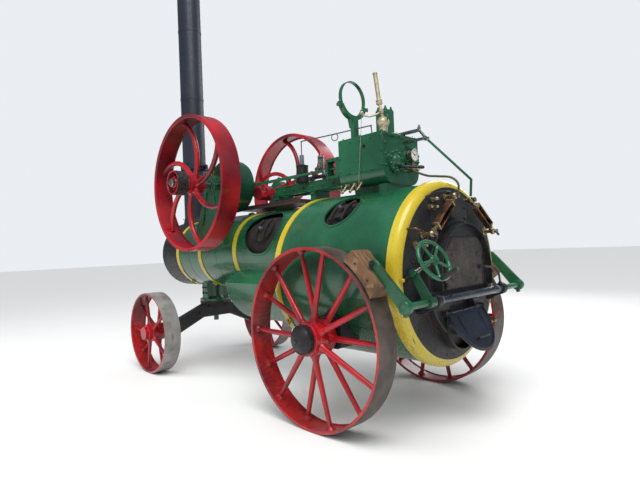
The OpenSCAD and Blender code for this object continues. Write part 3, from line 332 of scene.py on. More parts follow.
MATERIALS = {
    "green": paint("green_paint", GREEN, GREEN_DARK),
    "black": iron("black_iron"),
    # Green darkened for the governor drum: painted shade, for the shade the drum stands in.
    "shaded_green": paint("shaded_green", (0.007, 0.058, 0.030), (0.005, 0.036, 0.019)),
    "soot": iron("sooty_chimney", (0.010, 0.013, 0.024), (0.015, 0.018, 0.030), 0.08,
                 (0.42, 0.62), 2.0, 0.1),
    "yellow": scratched_yellow("yellow_paint"),
    "fire_door": iron("browned_iron", (0.045, 0.032, 0.027), (0.02, 0.017, 0.016), 0.55,
                      (0.45, 0.7), 8.0),
    "ash_flap": iron("blued_iron", (0.010, 0.014, 0.027), (0.008, 0.010, 0.018), 0.12, (0.32, 0.5)),
    "brass": bright_metal("dull_brass", BRASS, (0.19, 0.14, 0.08), rough=(0.30, 0.55)),
    "pale_brass": bright_metal("pale_brass", (0.58, 0.51, 0.35), (0.42, 0.35, 0.22), 0.7,
                               (0.38, 0.6)),
    "copper": bright_metal("copper_tube", (0.30, 0.14, 0.08), (0.11, 0.065, 0.045),
                           rough=(0.3, 0.55)),
    "steel": bright_metal("bright_steel", STEEL, STEEL_DULL, brushed=(0.1, 1, 1)),
    "red": flywheel_paint("flywheel_red"),
    "rear_wheel": wheel_paint("rear_wheel_red", 0, REAR_R, (0.030, 0.022, 0.017),
                              (0.088, 0.064, 0.050)),
    "front_wheel": wheel_paint("front_wheel_red", FRONT_X, FRONT_R, (0.19, 0.18, 0.17),
                               (0.29, 0.28, 0.27)),
    "tray": iron("oily_tray", (0.10, 0.045, 0.045), (0.05, 0.028, 0.025), 0.3, (0.25, 0.5)),
    "wood": wood_grain("brake_wood"),
    "pipe": iron("olive_pipe", (0.075, 0.075, 0.035), (0.04, 0.036, 0.02), 0.3, (0.35, 0.55)),
    "hub_black": iron("hub_black", (0.012, 0.012, 0.014), (0.02, 0.019, 0.019), 0.12, (0.2, 0.4),
                      9.0, 0.08),
    "blue_grey": iron("blue_grey", (0.10, 0.14, 0.17), (0.07, 0.09, 0.11), 0.15, (0.3, 0.5)),
    "dial": enamel("dial_white"),
    "glass": clear_glass("oiler_glass"),
    "cord": twisted_cord("hanging_cord"),
    "belt_pulley": pulley_paint("pulley_paint"),
    "crank": red_webs("crank_webs"),
    "brake": sleeved_paint("brake_paint"),
    "inside": iron("boiler_inside", (0.010, 0.010, 0.011), (0.017, 0.015, 0.014), 0.3,
                   (0.75, 0.92), 9.0),
    "plate": iron("backplate_black", (0.012, 0.012, 0.013), (0.020, 0.020, 0.021), 0.12,
                  (0.45, 0.7)),
}

NODE_LOOKS = {
    "green": "main_cladding middle_cladding boiler_barrel chimney_rest rest_strap cylinder_saddle "
             "cylinder_block cylinder_covers safety_valve engine_frame valve_gear pedestal_left "
             "pedestal_right king_post handwheel",
    "brake": "brake_shaft",
    # The governor drum takes the darkened green, which is painted shade.
    "shaded_green": "governor_drum",
    "plate": "backplate",
    "inside": "boiler_core washout_doors",
    "black": "firebox_drum smokebox smokebox_door lubricators axle_bracket_left "
             "axle_bracket_right hub_cap_left hub_cap_right front_axle brake_bearings",
    "soot": "chimney_base chimney",
    "yellow": "yellow_bands rear_flange",
    "fire_door": "fire_door",
    "ash_flap": "ash_flap",
    "brass": "water_gauges drain_cocks pressure_gauge",
    "pale_brass": "whistle",
    "steel": "slide_bars crosshead",
    "crank": "crankshaft connecting_rod",
    "red": "flywheel_left flywheel_right",
    "cord": "whistle_cord",
    "belt_pulley": "belt_pulley",
    "rear_wheel": "rear_wheel_left rear_wheel_right",
    "front_wheel": "front_wheel_left front_wheel_right",
    "tray": "oil_tray",
    "wood": "brake_blocks",
    "pipe": "steam_pipes",
}
for look, names in NODE_LOOKS.items():
    for name in names.split():
        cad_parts[name].data.materials.clear()
        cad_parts[name].data.materials.append(MATERIALS[look])

# ---------------------------------------------------------------- mesh tools

CURVE_STEPS = 8
SHARP_ANGLE = radians(38)
UPRIGHT = 0.99


def turned_to(angle, first, second):
    """The direction at an angle, in radians, from first towards second."""
    return cos(angle) * first + sin(angle) * second


def arc(start, end, count):
    """Even steps from start to end, which are in degrees, as radians."""
    return [radians(start + (end - start) * k / (count - 1)) for k in range(count)]


def round_angles(count):
    return [2 * pi * i / count for i in range(count)]


def frame_of(axis):
    """Two directions square to axis and to each other."""
    axis = Vector(axis).normalized()
    first = axis.orthogonal().normalized()
    if abs(axis.z) < UPRIGHT:
        first = Z.cross(axis).normalized()
    return first, axis.cross(first)


def spread(centre, axis, radius, count, start=0.0):
    """Points evenly round an axis, as (point, outward direction)."""
    outs = [turned_to(radians(start) + a, *frame_of(axis)) for a in round_angles(count)]
    return [(Vector(centre) + radius * out, out) for out in outs]


def ring(centre, axis, radius, count, start=0.0):
    """Points evenly round an axis."""
    return [p for p, _ in spread(centre, axis, radius, count, start)]


def smooth_path(points):
    """A curve through the points, as many short steps."""
    if len(points) < 3:
        return points
    made = []
    for i in range(len(points) - 1):
        p0, p1 = points[max(i - 1, 0)], points[i]
        p2, p3 = points[i + 1], points[min(i + 2, len(points) - 1)]
        for k in range(CURVE_STEPS):
            t = k / CURVE_STEPS
            made.append(0.5 * (
                2 * p1 + (p2 - p0) * t + (2 * p0 - 5 * p1 + 4 * p2 - p3) * t * t
                + (3 * p1 - p0 - 3 * p2 + p3) * t * t * t))
    return made + [points[-1]]


class Piece:
    """A mesh being built in millimetres from the rear axle, which then rides on a body."""

    def __init__(self, name, look, body="engine_body"):
        self.name = name
        self.body = body
        self.mesh = bmesh.new()
        self.looks = [look]
        self.slot = 0

    def look(self, look):
        if look not in self.looks:
            self.looks.append(look)
        self.slot = self.looks.index(look)

    def face(self, corners):
        made = self.mesh.faces.new(corners)
        made.material_index = self.slot
        made.smooth = True

    def loft(self, rings, loop=False):
        """A skin over rings of points, capped at its ends. A ring may be a single point."""
        rows = [[self.mesh.verts.new(p) for p in points] for points in rings]
        pairs = list(zip(rows, rows[1:])) + ([(rows[-1], rows[0])] if loop else [])
        for a, b in pairs:
            count = max(len(a), len(b))
            for i in range(count):
                j = (i + 1) % count
                if len(a) == 1:
                    self.face((a[0], b[j], b[i]))
                elif len(b) == 1:
                    self.face((a[i], a[j], b[0]))
                else:
                    self.face((a[i], a[j], b[j], b[i]))
        if not loop:
            for row in (rows[0][::-1], rows[-1]):
                if len(row) > 2:
                    self.face(row)

    def turned(self, at, axis, profile, count=20):
        """A turned form: profile is a list of (radius, distance along axis)."""
        axis = Vector(axis).normalized()
        rings = []
        for radius, along in profile:
            centre = Vector(at) + along * axis
            rings.append([centre] if radius == 0 else ring(centre, axis, radius, count))
        self.loft(rings)

    def hoop(self, at, axis, profile, count=64):
        """A closed ring: profile is a closed outline of (radius, distance along axis)."""
        axis = Vector(axis).normalized()
        outs = [turned_to(a, *frame_of(axis)) for a in round_angles(count)]
        rings = [[Vector(at) + r * out + h * axis for r, h in profile] for out in outs]
        self.loft(rings, loop=True)

    def rod(self, a, b, radius, count=8):
        a, b = Vector(a), Vector(b)
        self.turned(a, b - a, [(radius, 0), (radius, (b - a).length)], count)

    def tube(self, points, radius, count=8):
        """A round tube along a smooth curve through the points."""
        path = smooth_path([Vector(p) for p in points])
        side = frame_of(path[1] - path[0])[0]
        rings = []
        for i, p in enumerate(path):
            ahead = (path[min(i + 1, len(path) - 1)] - path[max(i - 1, 0)]).normalized()
            side = (side - side.dot(ahead) * ahead).normalized()
            over = ahead.cross(side)
            rings.append([p + radius * turned_to(a, side, over) for a in round_angles(count)])
        self.loft(rings)

    def box(self, low, high, bevel, at=(0, 0, 0), turn=Matrix.Identity(3)):
        """A box with chamfered edges between two corners, turned and then moved to a place."""
        low, high, at = Vector(low), Vector(high), Vector(at)
        made = bmesh.ops.create_cube(self.mesh, size=1.0)["verts"]
        for v in made:
            v.co = v.co * (high - low) + (low + high) / 2
        edges = {e for v in made for e in v.link_edges}
        result = bmesh.ops.bevel(
            self.mesh, geom=list(edges), offset=bevel, segments=1, affect="EDGES", profile=0.5)
        faces = set(result["faces"]) | {f for v in result["verts"] for f in v.link_faces}
        for v in {v for f in faces for v in f.verts}:
            v.co = turn @ v.co + at
        for f in faces:
            f.material_index = self.slot
            f.smooth = True

    def prism(self, outline, *ends):
        """An outline of points, moved to each of two ends and joined between them."""
        self.loft([[Vector(p) + Vector(end) for p in outline] for end in ends])

    def nut(self, at, axis, across, washer=True, stud=True):
        """A hexagon nut on its washer with the stud's end standing out."""
        r = across / 1.732
        base = 0.0
        if washer:
            self.turned(at, axis, [(r * 1.25, 0), (r * 1.25, 2.5), (0, 2.6)], 14)
            base = 2.5
        high = across * 0.55
        self.turned(at, axis, [(r, base), (r, base + high * 0.85), (r * 0.86, base + high),
                               (0, base + high + 0.1)], 6)
        if stud:
            self.turned(at, axis, [(r * 0.5, base), (r * 0.5, base + high * 1.45),
                                   (r * 0.38, base + high * 1.6), (0, base + high * 1.62)], 10)

    def nuts(self, places, axis, across, **parts):
        """Nuts of one kind at many places; parts says which have no washer or no stud."""
        for at in places:
            self.nut(at, axis, across, **parts)

    def rivet(self, at, axis, radius, high):
        self.turned(at, axis, [(radius, -1), (radius * 0.92, high * 0.45),
                               (radius * 0.6, high * 0.85), (0, high)], 8)

    def rivets(self, places, axis, radius, high):
        for at in places:
            self.rivet(at, axis, radius, high)

    def rivet_ring(self, centre, axis, radius, count, start, size, high):
        """Rivets that stand out from a round form."""
        for at, out in spread(centre, axis, radius, count, start):
            self.rivet(at, out, size, high)

    def done(self):
        for v in self.mesh.verts:
            v.co = metres(v.co)
        bmesh.ops.recalc_face_normals(self.mesh, faces=self.mesh.faces)
        mesh = bpy.data.meshes.new(self.name)
        self.mesh.to_mesh(mesh)
        self.mesh.free()
        mesh.set_sharp_from_angle(angle=SHARP_ANGLE)
        made = placed(self.name, mesh)
        for look in self.looks:
            mesh.materials.append(MATERIALS[look])
        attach(made, self.body)


# ---------------------------------------------------------------- wheels and flywheels

# Look, axle X, middle Y, radius, width, spokes, and the radii of hub, spokes and cap.
WHEELS = {"rear": ("rear_wheel", 0, 805, REAR_R, 190, 14, 125, 20, 104),
          "front": ("front_wheel", FRONT_X, 820, FRONT_R, 180, 10, 95, 17, 72)}
TYRE_T = 14
FLY_HALF = 102


def wheel_fittings(end, side_name):
    """Spoke sockets, hub flanges with their nuts, and rim beads of one iron wheel."""
    look, axle_x, middle_y, radius, width, spokes, hub_r, spoke_r, cap_r = WHEELS[end]
    side = SIDES[side_name]
    piece = Piece(f"{end}_wheel_fittings_{side_name}", look, f"{end}_{side_name}")
    middle = Vector((axle_x, side * middle_y, radius))
    inner = radius - TYRE_T
    for turn in (1, -1):
        edge = turn * width / 2
        piece.hoop(middle, side * Y, [
            (inner + 1, edge - turn * 10), (inner + 1, edge - turn), (inner - 6, edge - turn),
            (inner - 9, edge - turn * 4), (inner - 9, edge - turn * 8)], 72)
        piece.hoop(middle, side * Y, [
            (hub_r + more, turn * width * part)
            for more, part in ((-2, 0.33), (6, 0.30), (6, 0.12), (-2, 0.09))], 48)
    for i, angle in enumerate(round_angles(spokes)):
        lean = side if i % 2 == 0 else -side
        # The wheel's own frame: its axle is Z there, and its spokes start on X.
        out = turned_to(angle, X, -side * Z)
        root = middle + (hub_r - 2) * out + lean * (width + 6) * 0.22 * Y
        tip = middle + inner * out + lean * width * 0.12 * Y
        along = (tip - root).normalized()
        for at, axis, socket in (
                (root, along, ((1.75, -4), (1.7, 10), (1.35, 24), (1.2, 40))),
                (tip, -along, ((1.9, -2), (1.75, 7), (1.25, 16), (0.95, 28)))):
            piece.turned(at, axis, [(spoke_r * r, step) for r, step in socket], 14)
    face = (width / 2 + 3) * side * Y
    piece.turned(middle + face, side * Y, [
        (hub_r, 0), (hub_r, 4), (hub_r - 5, 9), (cap_r - 4, 10)], 40)
    piece.nuts(ring(middle + face + 9 * side * Y, side * Y, (hub_r + cap_r) / 2 + 1, 7, 10),
               side * Y, 13, washer=False)
    piece.turned(middle - face, -side * Y, [(hub_r, 0), (hub_r, 3), (hub_r - 4, 7), (60, 8)], 40)
    piece.done()


for side_name, side in SIDES.items():
    wheel_fittings("rear", side_name)
    wheel_fittings("front", side_name)

    cap = Piece(f"hub_cap_trim_{side_name}", "hub_black", f"rear_{side_name}")
    at = Vector((0, side * 903, REAR_R))
    cap.hoop(at, side * Y, [(103, 1), (108, 1), (108, 9), (103, 12)], 48)
    cap.hoop(at, side * Y, [(104, 44), (106.5, 46), (106.5, 52), (104, 54)], 48)
    cap.turned(at + side * 104 * Y, side * Y, [(16, -1), (16, 4), (11, 9), (0, 10)], 12)
    cap.done()

    fly = Piece(f"flywheel_fittings_{side_name}", "red", "crank")
    middle = CRANK + side * 703 * Y
    for turn in (1, -1):
        edge = turn * FLY_HALF
        fly.hoop(middle, side * Y, [
            (682, edge - turn * 14), (682, edge - turn), (672, edge - turn),
            (668, edge - turn * 5), (668, edge - turn * 10)], 96)
        for count, *profile in ((48, (90, 0.5), (98, 0.52), (98, 0.74), (90, 0.78)),
                                (40, (46, 0.84), (74, 0.84), (70, 0.95), (46, 0.98))):
            fly.hoop(middle, side * Y, [(r, edge * part) for r, part in profile], count)
    for angle in round_angles(6):
        out = turned_to(angle, X, Z)
        fly.turned(middle + 84 * out, out, [(44, 0), (42, 10), (33, 26), (27, 44)], 18)
    # Taper key in the hub.
    fly.look("steel")
    fly.box((-9, side * 84 - 4, 40), (9, side * 124 + 4, 52), 1.5, middle)
    fly.done()

pulley = Piece("belt_pulley_fittings", "red", "crank")
pulley_at = CRANK + 885 * Y
for turn in (1, -1):
    for count, *profile in ((48, (114, 52), (114, 59), (110, 59), (107, 54)),
                            (32, (42.5, 40), (56, 40), (52, 48), (42.5, 50))):
        pulley.hoop(pulley_at, Y, [(r, turn * step) for r, step in profile], count)
for p, out in spread(pulley_at, Y, 60, 6):
    pulley.turned(p, out, [(17, 0), (15, 6), (11, 12)], 10)
pulley.look("steel")
pulley.turned(CRANK + 955 * Y, Y, [(43, -14), (43, 0), (38, 6), (0, 7)], 28)
pulley.nut(CRANK + 955 * Y, Y, 42)
pulley.turned(CRANK - 835 * Y, -Y, [(43, -14), (43, -1), (38, 5), (0, 6)], 28)
pulley.done()

# ---------------------------------------------------------------- boiler

# X, centre, band radius, and the clamp's angle above level on the left.
BAND_CLAMPS = [(566, MAIN, 697, -35), (2314, BARREL, 411, -60), (2836, BARREL, 411, -60),
               (566, MAIN, 697, 215), (2314, BARREL, 411, 240), (2836, BARREL, 411, 240)]
BANDS = [(566, MAIN, 697), (1608, BARREL, 411), (2314, BARREL, 411), (2836, BARREL, 411)]
# X, centre, skin radius, tilt, half width and half height of the two oval openings.
OPENINGS = [(1195, BARREL, 410, 32, 268, 240), (10, MAIN, 696, 50, 150, 177)]
MAIN_SKIN, BARREL_SKIN = 690, 404


def on_drum(x, centre, radius, angle):
    """A point on a drum and its outward direction; the angle is above level on the left."""
    out = turned_to(radians(angle), Y, Z)
    return x * X + centre + radius * out, out


def axes(*directions):
    """The turn that takes X, Y and Z to three directions."""
    return Matrix(directions).transposed()


boiler = Piece("boiler_trim", "yellow")
for x, centre, radius, angle in BAND_CLAMPS:
    p, out = on_drum(x, centre, radius, angle)
    across = X.cross(out)
    for step in (-14, 14):
        at = p + step * across
        boiler.look("yellow")
        boiler.box((-15, -4, -4), (15, 4, 26), 1.5, at, axes(X, across, out))
    boiler.look("steel")
    boiler.rod(p + 15 * out - 26 * across, p + 15 * out + 26 * across, 4.5)
    boiler.nut(p + 15 * out + 18 * across, across, 14)
# Screws that hold the bands to the sheets.
boiler.look("yellow")
for (x, centre, radius), angle, step in product(BANDS, range(20, 165, 24), (-22, 22)):
    boiler.rivet(*on_drum(x + step, centre, radius, angle), 5.0, 2.4)
boiler.done()

seams = Piece("cladding_seams", "green")


def seam_strip(x0, x1, centre, radius, angle, wide=26):
    """A lapped sheet edge that runs along the drum, with its row of screws."""
    half = degrees(wide / 2 / radius)
    outline = ((0.0, -1.0), (2.2, -0.93), (2.6, 0.93), (0.0, 1.0), (-1.5, 0.5), (-1.5, 0.0),
               (-1.5, -0.5))
    seams.loft([[on_drum(x, centre, radius + high, angle + step * half)[0]
                 for high, step in outline] for x in (x0, x1)])
    count = max(2, int((x1 - x0) / 88))
    for i in range(count + 1):
        x = x0 + 20 + (x1 - x0 - 40) * i / count
        seams.rivet(*on_drum(x, centre, radius + 2.4, angle), 5.5, 2.4)


for angle in (-14, 194, 100):
    seam_strip(-600, 528, MAIN, MAIN_SKIN, angle, 30)
for angle in (-20, 172):
    seam_strip(620, 1570, BARREL, BARREL_SKIN, angle)
for angle, (x0, x1) in product((-72, 252, 88), ((1672, 2278), (2350, 2800))):
    seam_strip(x0, x1, BARREL, BARREL_SKIN, angle)
for x in (1990, 2580):
    seams.hoop(x * X + BARREL, X, [
        (BARREL_SKIN - 1, -13), (BARREL_SKIN + 1.8, -12), (BARREL_SKIN + 1.8, 12),
        (BARREL_SKIN - 1, 13)], 72)
# Studs round the two oval openings.
for x, centre, radius, tilt, half_w, half_h in OPENINGS:
    r = min(half_w, half_h) + 7
    for a in round_angles(20):
        u, v = r * cos(a), r * sin(a)
        u += copysign(max(half_w - half_h, 0), u)
        v += copysign(max(half_h - half_w, 0), v)
        angle = tilt + degrees(asin(max(-1, min(1, v / radius))))
        seams.rivet(*on_drum(x + u, centre, radius, angle), 5.0, 3.0)
seams.done()

doors = Piece("washout_yokes", "inside")
BAR_ENDS = (-62, 62)
for x, centre, radius, tilt, _, _ in OPENINGS:
    base, out = on_drum(x, centre, radius - 22, tilt)
    up = X.cross(out)
    for bar in BAR_ENDS:
        steps = [-1 + k / 4 for k in range(9)]
        doors.tube([base + bar * X + s * 118 * up + (1 - s * s) * 26 * out for s in steps], 13)
    doors.look("steel")
    doors.turned(base + 18 * out, out, [(22, 0), (22, 10), (9, 12), (9, 34), (0, 35)], 12)
    doors.nut(base + 30 * out, out, 30)
    doors.look("inside")
    doors.nuts([base + bar * X + s * 112 * up - 6 * out for bar in BAR_ENDS for s in (-1, 1)],
               out, 22)
doors.done()

smoke = Piece("smokebox_rivets", "black")
for x in (2888, 2908, 3212):
    for p, out in spread(x * X + BARREL, X, 411.5, 44, 4):
        if out.z < 0.93:
            smoke.rivet(p, out, 8, 4)
smoke.hoop(3230 * X + BARREL, X, [
    (352, -2), (408, -2), (408, 3), (403, 7), (358, 7), (352, 3)], 72)
for p in ring(3237 * X + BARREL, X, 384, 30, 6):
    if not (p.y < -330 and abs(p.z - BARREL.z) < 150):
        smoke.rivet(p, X, 7, 4)
# Rivets of the chimney's saddle and of the lower chimney's seam.
smoke.rivet_ring((CHIMNEY_X, 0, 1790), Z, 168, 16, 10, 7, 4)
out = turned_to(2.4, X, Y)
for k in range(8):
    smoke.rivet(CHIMNEY_X * X + 147 * out + (1860 + 72 * k) * Z, out, 6, 3.5)
smoke.nuts(ring((CHIMNEY_X, 0, 2437), -Z, 162, 8, 22.5), -Z, 22)
smoke.done()

stack = Piece("chimney_trim", "soot", "chimney")
stack.nuts(ring((CHIMNEY_X, 0, 2486), Z, 162, 8, 22.5), Z, 22)
for base_z in (3380, 4290):
    at = Vector((CHIMNEY_X, 0, base_z))
    stack.hoop(at, Z, [(146, -18), (150.5, -17), (150.5, 17), (146, 18)], 48)
    stack.rivet_ring(at, Z, 150, 14, 0, 5, 3)
out = turned_to(-2.2, X, Y)
for k in range(30):
    stack.rivet(CHIMNEY_X * X + 147 * out + (2520 + 88 * k) * Z, out, 5, 3)
stack.hoop((CHIMNEY_X, 0, 5262), Z, [
    (185, -8), (190, -9), (195, -3), (195, 5), (190, 8), (184, 8)], 56)
for side in (-1, 1):
    stack.nut((2875, side * 70, 2481), side * Y, 20)
stack.done()

door = Piece("smokebox_door_trim", "black", "smokebox_door")
SMOKE_FACE = 3231
face = SMOKE_FACE * X + BARREL
door.hoop(face, X, [(334, 13), (349, 13), (349, 18), (344, 20), (337, 18)], 72)
door.hoop(face, X, [(270, 25), (288, 25), (288, 29), (280, 31), (272, 29)], 72)
door.rivets([p for p in ring(face + 14 * X, X, 318, 26) if p.y > -210], X, 7, 4)
for z in (1202, 1432):
    door.box((SMOKE_FACE + 13, -345, z + 18), (SMOKE_FACE + 24, -60, z + 42), 2)
    door.rivets([(SMOKE_FACE + 24, y, z + 30) for y in (-300, -235, -170, -105)], X, 7, 4)
door.look("steel")
door.turned(face + 60 * X, X, [(13, -1), (13, 13.5), (9, 15), (0, 15.2)], 12)
door.done()

# ---------------------------------------------------------------- engine

BLOCK_BACK, BLOCK_FRONT, BLOCK_HALF = -275, 205, 245
BLOCK_LOW, BLOCK_HIGH = 1835, 2250
SHEET = 2.4

top = Piece("block_fittings", "green")
# Thin sheets round the block, held by small bolts along their edges.
for side in (1, -1):
    face = side * (BLOCK_HALF + SHEET)
    low_y, high_y = sorted((side * BLOCK_HALF, face))
    for x0, x1 in ((BLOCK_BACK + 2, -56), (-53, BLOCK_FRONT - 2)):
        top.box((x0, low_y, BLOCK_LOW + 112), (x1, high_y, BLOCK_HIGH - 2), 1)
    top.nuts([(x, face, z) for x, z in (
        (61, 2218), (-155, 2216), (-34, 2217), (-34, 1962), (-262, 2215), (-262, 2098),
        (-262, 1981), (188, 2220), (188, 2091), (188, 1984), (-150, 1960), (80, 1960))],
        side * Y, 14, washer=False)
# Strips along the upper edges. The back one leaves out the bolt behind the safety valve's lever.
for x, turn in ((BLOCK_BACK, -1), (BLOCK_FRONT, 1)):
    face = x + turn * 7
    low_x, high_x = sorted((x, face))
    top.box((low_x, -BLOCK_HALF + 6, BLOCK_HIGH - 34), (high_x, BLOCK_HALF - 6, BLOCK_HIGH - 3), 2)
    top.nuts([(face, y, BLOCK_HIGH - 18) for y in range(-205, 206, 82) if x > 0 or y != -41],
             turn * X, 17)
top.nuts(product([BLOCK_BACK], (-218, 218), (1980, 2070, 2160)), -X, 16, washer=False)
top.box((BLOCK_BACK + 3, -BLOCK_HALF + 5, BLOCK_HIGH),
        (BLOCK_FRONT - 3, BLOCK_HALF - 5, BLOCK_HIGH + 3), 1.5)
top.nuts(product((-245, -20, 170), (-215, 215), [BLOCK_HIGH + 3]), Z, 15)
top.look("black")
top.turned((-82, BLOCK_HALF + SHEET, 2158), Y, [(15, 0), (15, 5), (11, 6), (11, 1), (0, 0.6)], 24)
top.done()

# Drain cocks under the left edge, each with its plug and lever.
cocks = Piece("drain_cock_trim", "brass")
COCK_OUT = turned_to(radians(-46), Y, Z)
for x in (150, 62, -14):
    corner = Vector((x, BLOCK_HALF - 110, BLOCK_LOW + 110))
    cocks.turned(corner + 110 * COCK_OUT, COCK_OUT, [(20, 0.4), (20, 7), (15, 10), (11, 12)], 6)
    foot = corner + 176 * COCK_OUT
    cocks.rod(foot - 26 * X, foot + 26 * X, 9, 12)
    cocks.turned(foot + 12 * COCK_OUT, COCK_OUT, [
        (9, 0), (9, 12), (12, 14), (12, 22), (7, 23), (7, 14)], 14)
    cocks.box((22, -5, -4), (30, 5, 44), 2, foot)
cocks.done()

covers = Piece("cover_studs", "green")
# Y, Z, radius, X, side, how far the boss stands out, and number of studs.
COVERS = [(-130, 2059, 100, -275, -1, 20, 10), (97, 2018, 95, -275, -1, 30, 10),
          (-130, 2059, 85, 205, 1, 70, 8), (95, 2059, 70, 205, 1, 70, 6)]
for y, z, radius, x, side, boss, studs in COVERS:
    face = Vector((x + side * 18, y, z))
    core = radius * 0.45
    covers.nuts(ring(face, side * X, radius - 15, studs, 18), side * X, 17)
    covers.hoop(face, side * X, [(core - 1, 0), (core + 16, 0), (core + 6, 6), (core - 1, 14)], 40)
    if side < 0:
        covers.turned((x - boss, y, z), -X, [
            (core, -2), (radius * 0.42, 5), (radius * 0.28, 12), (0, 16)], 32)
    else:
        covers.nuts([(x + boss, y, z + step) for step in (-27, 27)], X, 17)
covers.done()

valve = Piece("safety_valve_trim", "green")
at = Vector((-122, 0, 0))
valve.nuts([at + Vector(p) for p in product((-72, 72), (-62, 62), [2270])], Z, 20)
valve.box((-58, -58, 2270), (58, 58, 2290), 4, at)
valve.box((-57, -57, 2452), (57, 57, 2472), 4, at)
valve.turned(at + 2480 * Z, Z, [(28, -1), (28, 4), (18, 8), (16, 20), (0, 22)], 24)
for dx, y in product((-38, 38), repeat=2):
    valve.nut(at + Vector((dx, y, 2480)), Z, 24, stud=False)
    valve.turned(at + Vector((dx, y, 2509)), Z, [(9, -1), (5, 5), (0, 6)], 10)
valve.look("steel")
for y in (-65, -38):
    valve.box((-428, y, 2253), (-176, y + 3, 2273), 1)
    valve.box((-480, y, 2177), (-277, y + 3, 2195), 1)
for x, z in ((-410, 2263), (-260, 2263), (-300, 2186), (-460, 2186)):
    valve.rod((x, -69, z), (x, -31, z), 6)
valve.turned((-488, -50, 2183), Y, [(19, -14), (21, -12), (21, 12), (19, 14)], 18)
valve.look("brass")
valve.turned((-424, -50, 2275), Z, [(13, -1), (13, 14), (8, 18), (8, 30), (0, 32)], 14)
valve.look("pipe")
valve.tube([(-275, 20, 1990), (-330, 10, 1960), (-492, 0, 1882), (-600, 0, 1858), (-711, 0, 1836),
            (-770, 0, 1790), (-778, 0, 1735), (-760, 0, 1700), (-698, 0, 1690)], 9)
valve.done()

call = Piece("whistle_trim", "pale_brass")
base = Vector((-200, 130, 2250))
call.hoop(base, Z, [(33, 0), (46, 0), (46, 8), (38, 12), (33, 12)], 32)
call.nuts(ring(base + 9 * Z, Z, 40, 6), Z, 9, washer=False, stud=False)
call.hoop(base + 52 * Z, Z, [(33, 0), (38, 4), (38, 10), (33, 14)], 32)
tilt = Vector((32, 0, 260))
call.turned(base + Vector((30, 0, 262)), tilt, [
    (12, -18), (24, -10), (27, -4), (27, 6), (20, 10), (20, 14), (27, 18), (27, 26), (19, 30)], 24)
call.turned(base + Vector((62, 0, 518)), tilt, [
    (18, -8), (21, -6), (21, 2), (14, 6), (8, 7), (8, 10), (0, 11)], 24)
# The arm's pivot on the stem, and the eye that its cord is tied to.
call.hoop((-190, 132, 2436), Z, [(9, -16), (17, -14), (17, 14), (9, 16)], 20)
call.nut((-190, 150, 2436), Y, 13)
call.turned((-82, 256, 2420), -Z, [(9, -6), (10, -2), (7, 2), (4, 6), (0, 7)], 14)
call.look("green")
call.box((-50, -6, 86), (-44, 6, 150), 2, base)
call.rod(base + Vector((-47, 0, 140)), base + Vector((14, 0, 190)), 4)
call.done()

gauge = Piece("pressure_gauge_trim", "brass")
dial_at = Vector((-330, -79, 2075))
gauge.look("steel")
gauge.hoop(dial_at, -X, [(49, 19), (54.6, 4), (56, 8), (55, 22), (51, 25), (49, 23)], 48)
gauge.look("dial")
gauge.turned(dial_at, -X, [(50, 20), (50, 21), (0, 21.2)], 48)
gauge.look("black")
for i, angle in enumerate(arc(-135, 135, 21)):
    out = turned_to(angle, Z, -Y)
    across = turned_to(angle, Y, Z)
    reach, half = (30, 1.3) if i % 5 == 0 else (35, 0.7)
    gauge.prism([r * out + w * across for r, w in (
        (reach, -half), (reach, half), (41, half), (41, -half))],
        dial_at - 21.4 * X, dial_at - 21.9 * X)
out = turned_to(radians(-60), Z, -Y)
gauge.turned(dial_at - 22.5 * X - 10 * out, out, [(2.6, 0), (2.6, 12), (1.0, 46)], 8)
gauge.turned(dial_at - 21 * X, -X, [(6, 0), (6, 3), (0, 4)], 16)
gauge.look("brass")
gauge.turned((-330, -79, 1996), Z, [(15, -8), (21, -6), (21, 6), (15, 8)], 6)
gauge.turned((-330, -110, 1968), Y, [
    (7, 0), (12, 2), (12, 12), (16, 14), (16, 46), (12, 50), (12, 58), (0, 60)], 14)
gauge.rod((-330, -112, 1968), (-372, -120, 1950), 5)
gauge.done()

handle = Piece("block_handle", "black")
handle.tube([(-276, 60, 1975), (-330, 50, 1972), (-392, 20, 1962), (-430, -10, 1957)], 10)
handle.turned((-430, -10, 1957), (-0.78, -0.6, -0.1), [
    (10, -2), (14, 2), (15, 22), (11, 44), (0, 48)], 14)
handle.turned((-275, 60, 1975), -X, [(30, 0), (30, 8), (18, 14), (14, 22)])
handle.done()

frame_bolts = Piece("engine_frame_bolts", "green")
for side in (-1, 1):
    y = PISTON_Y + side * 105
    frame_bolts.nuts([(x, y, 1955) for x in range(250, 1400, 144)], side * Y, 18)
    # Lips along the beam's upper and lower edges.
    for z in (1996, 1907):
        frame_bolts.box((210, y - 2 * side - 6, z), (1418, y - 2 * side + 6, z + 10), 2)
for x, side in product((812, 848, 1372, 1408), (-1, 1)):
    frame_bolts.nuts([(x, PISTON_Y + side * 105, z) for z in (1880, 1800)], side * Y, 20)
frame_bolts.done()

guides = Piece("slide_bar_fittings", "steel")
for x, y, (z, turn) in product((752, 1308), (-150, -110), ((2117, 1), (1999, -1))):
    guides.nut((x, y, z), turn * Z, 18, washer=False)
guides.look("brass")
for x in (870, 1120):
    guides.turned((x, PISTON_Y, 2117), Z, [
        (15, 0), (15, 4), (10, 6), (10, 10), (17, 13), (17, 34), (11, 40), (4, 42), (4, 47),
        (0, 48)], 16)
guides.look("steel")
guides.turned((760, PISTON_Y, CRANK_Z), -X, [(34, 14), (34, 22), (28, 26), (21, 27)], 6)
guides.done()

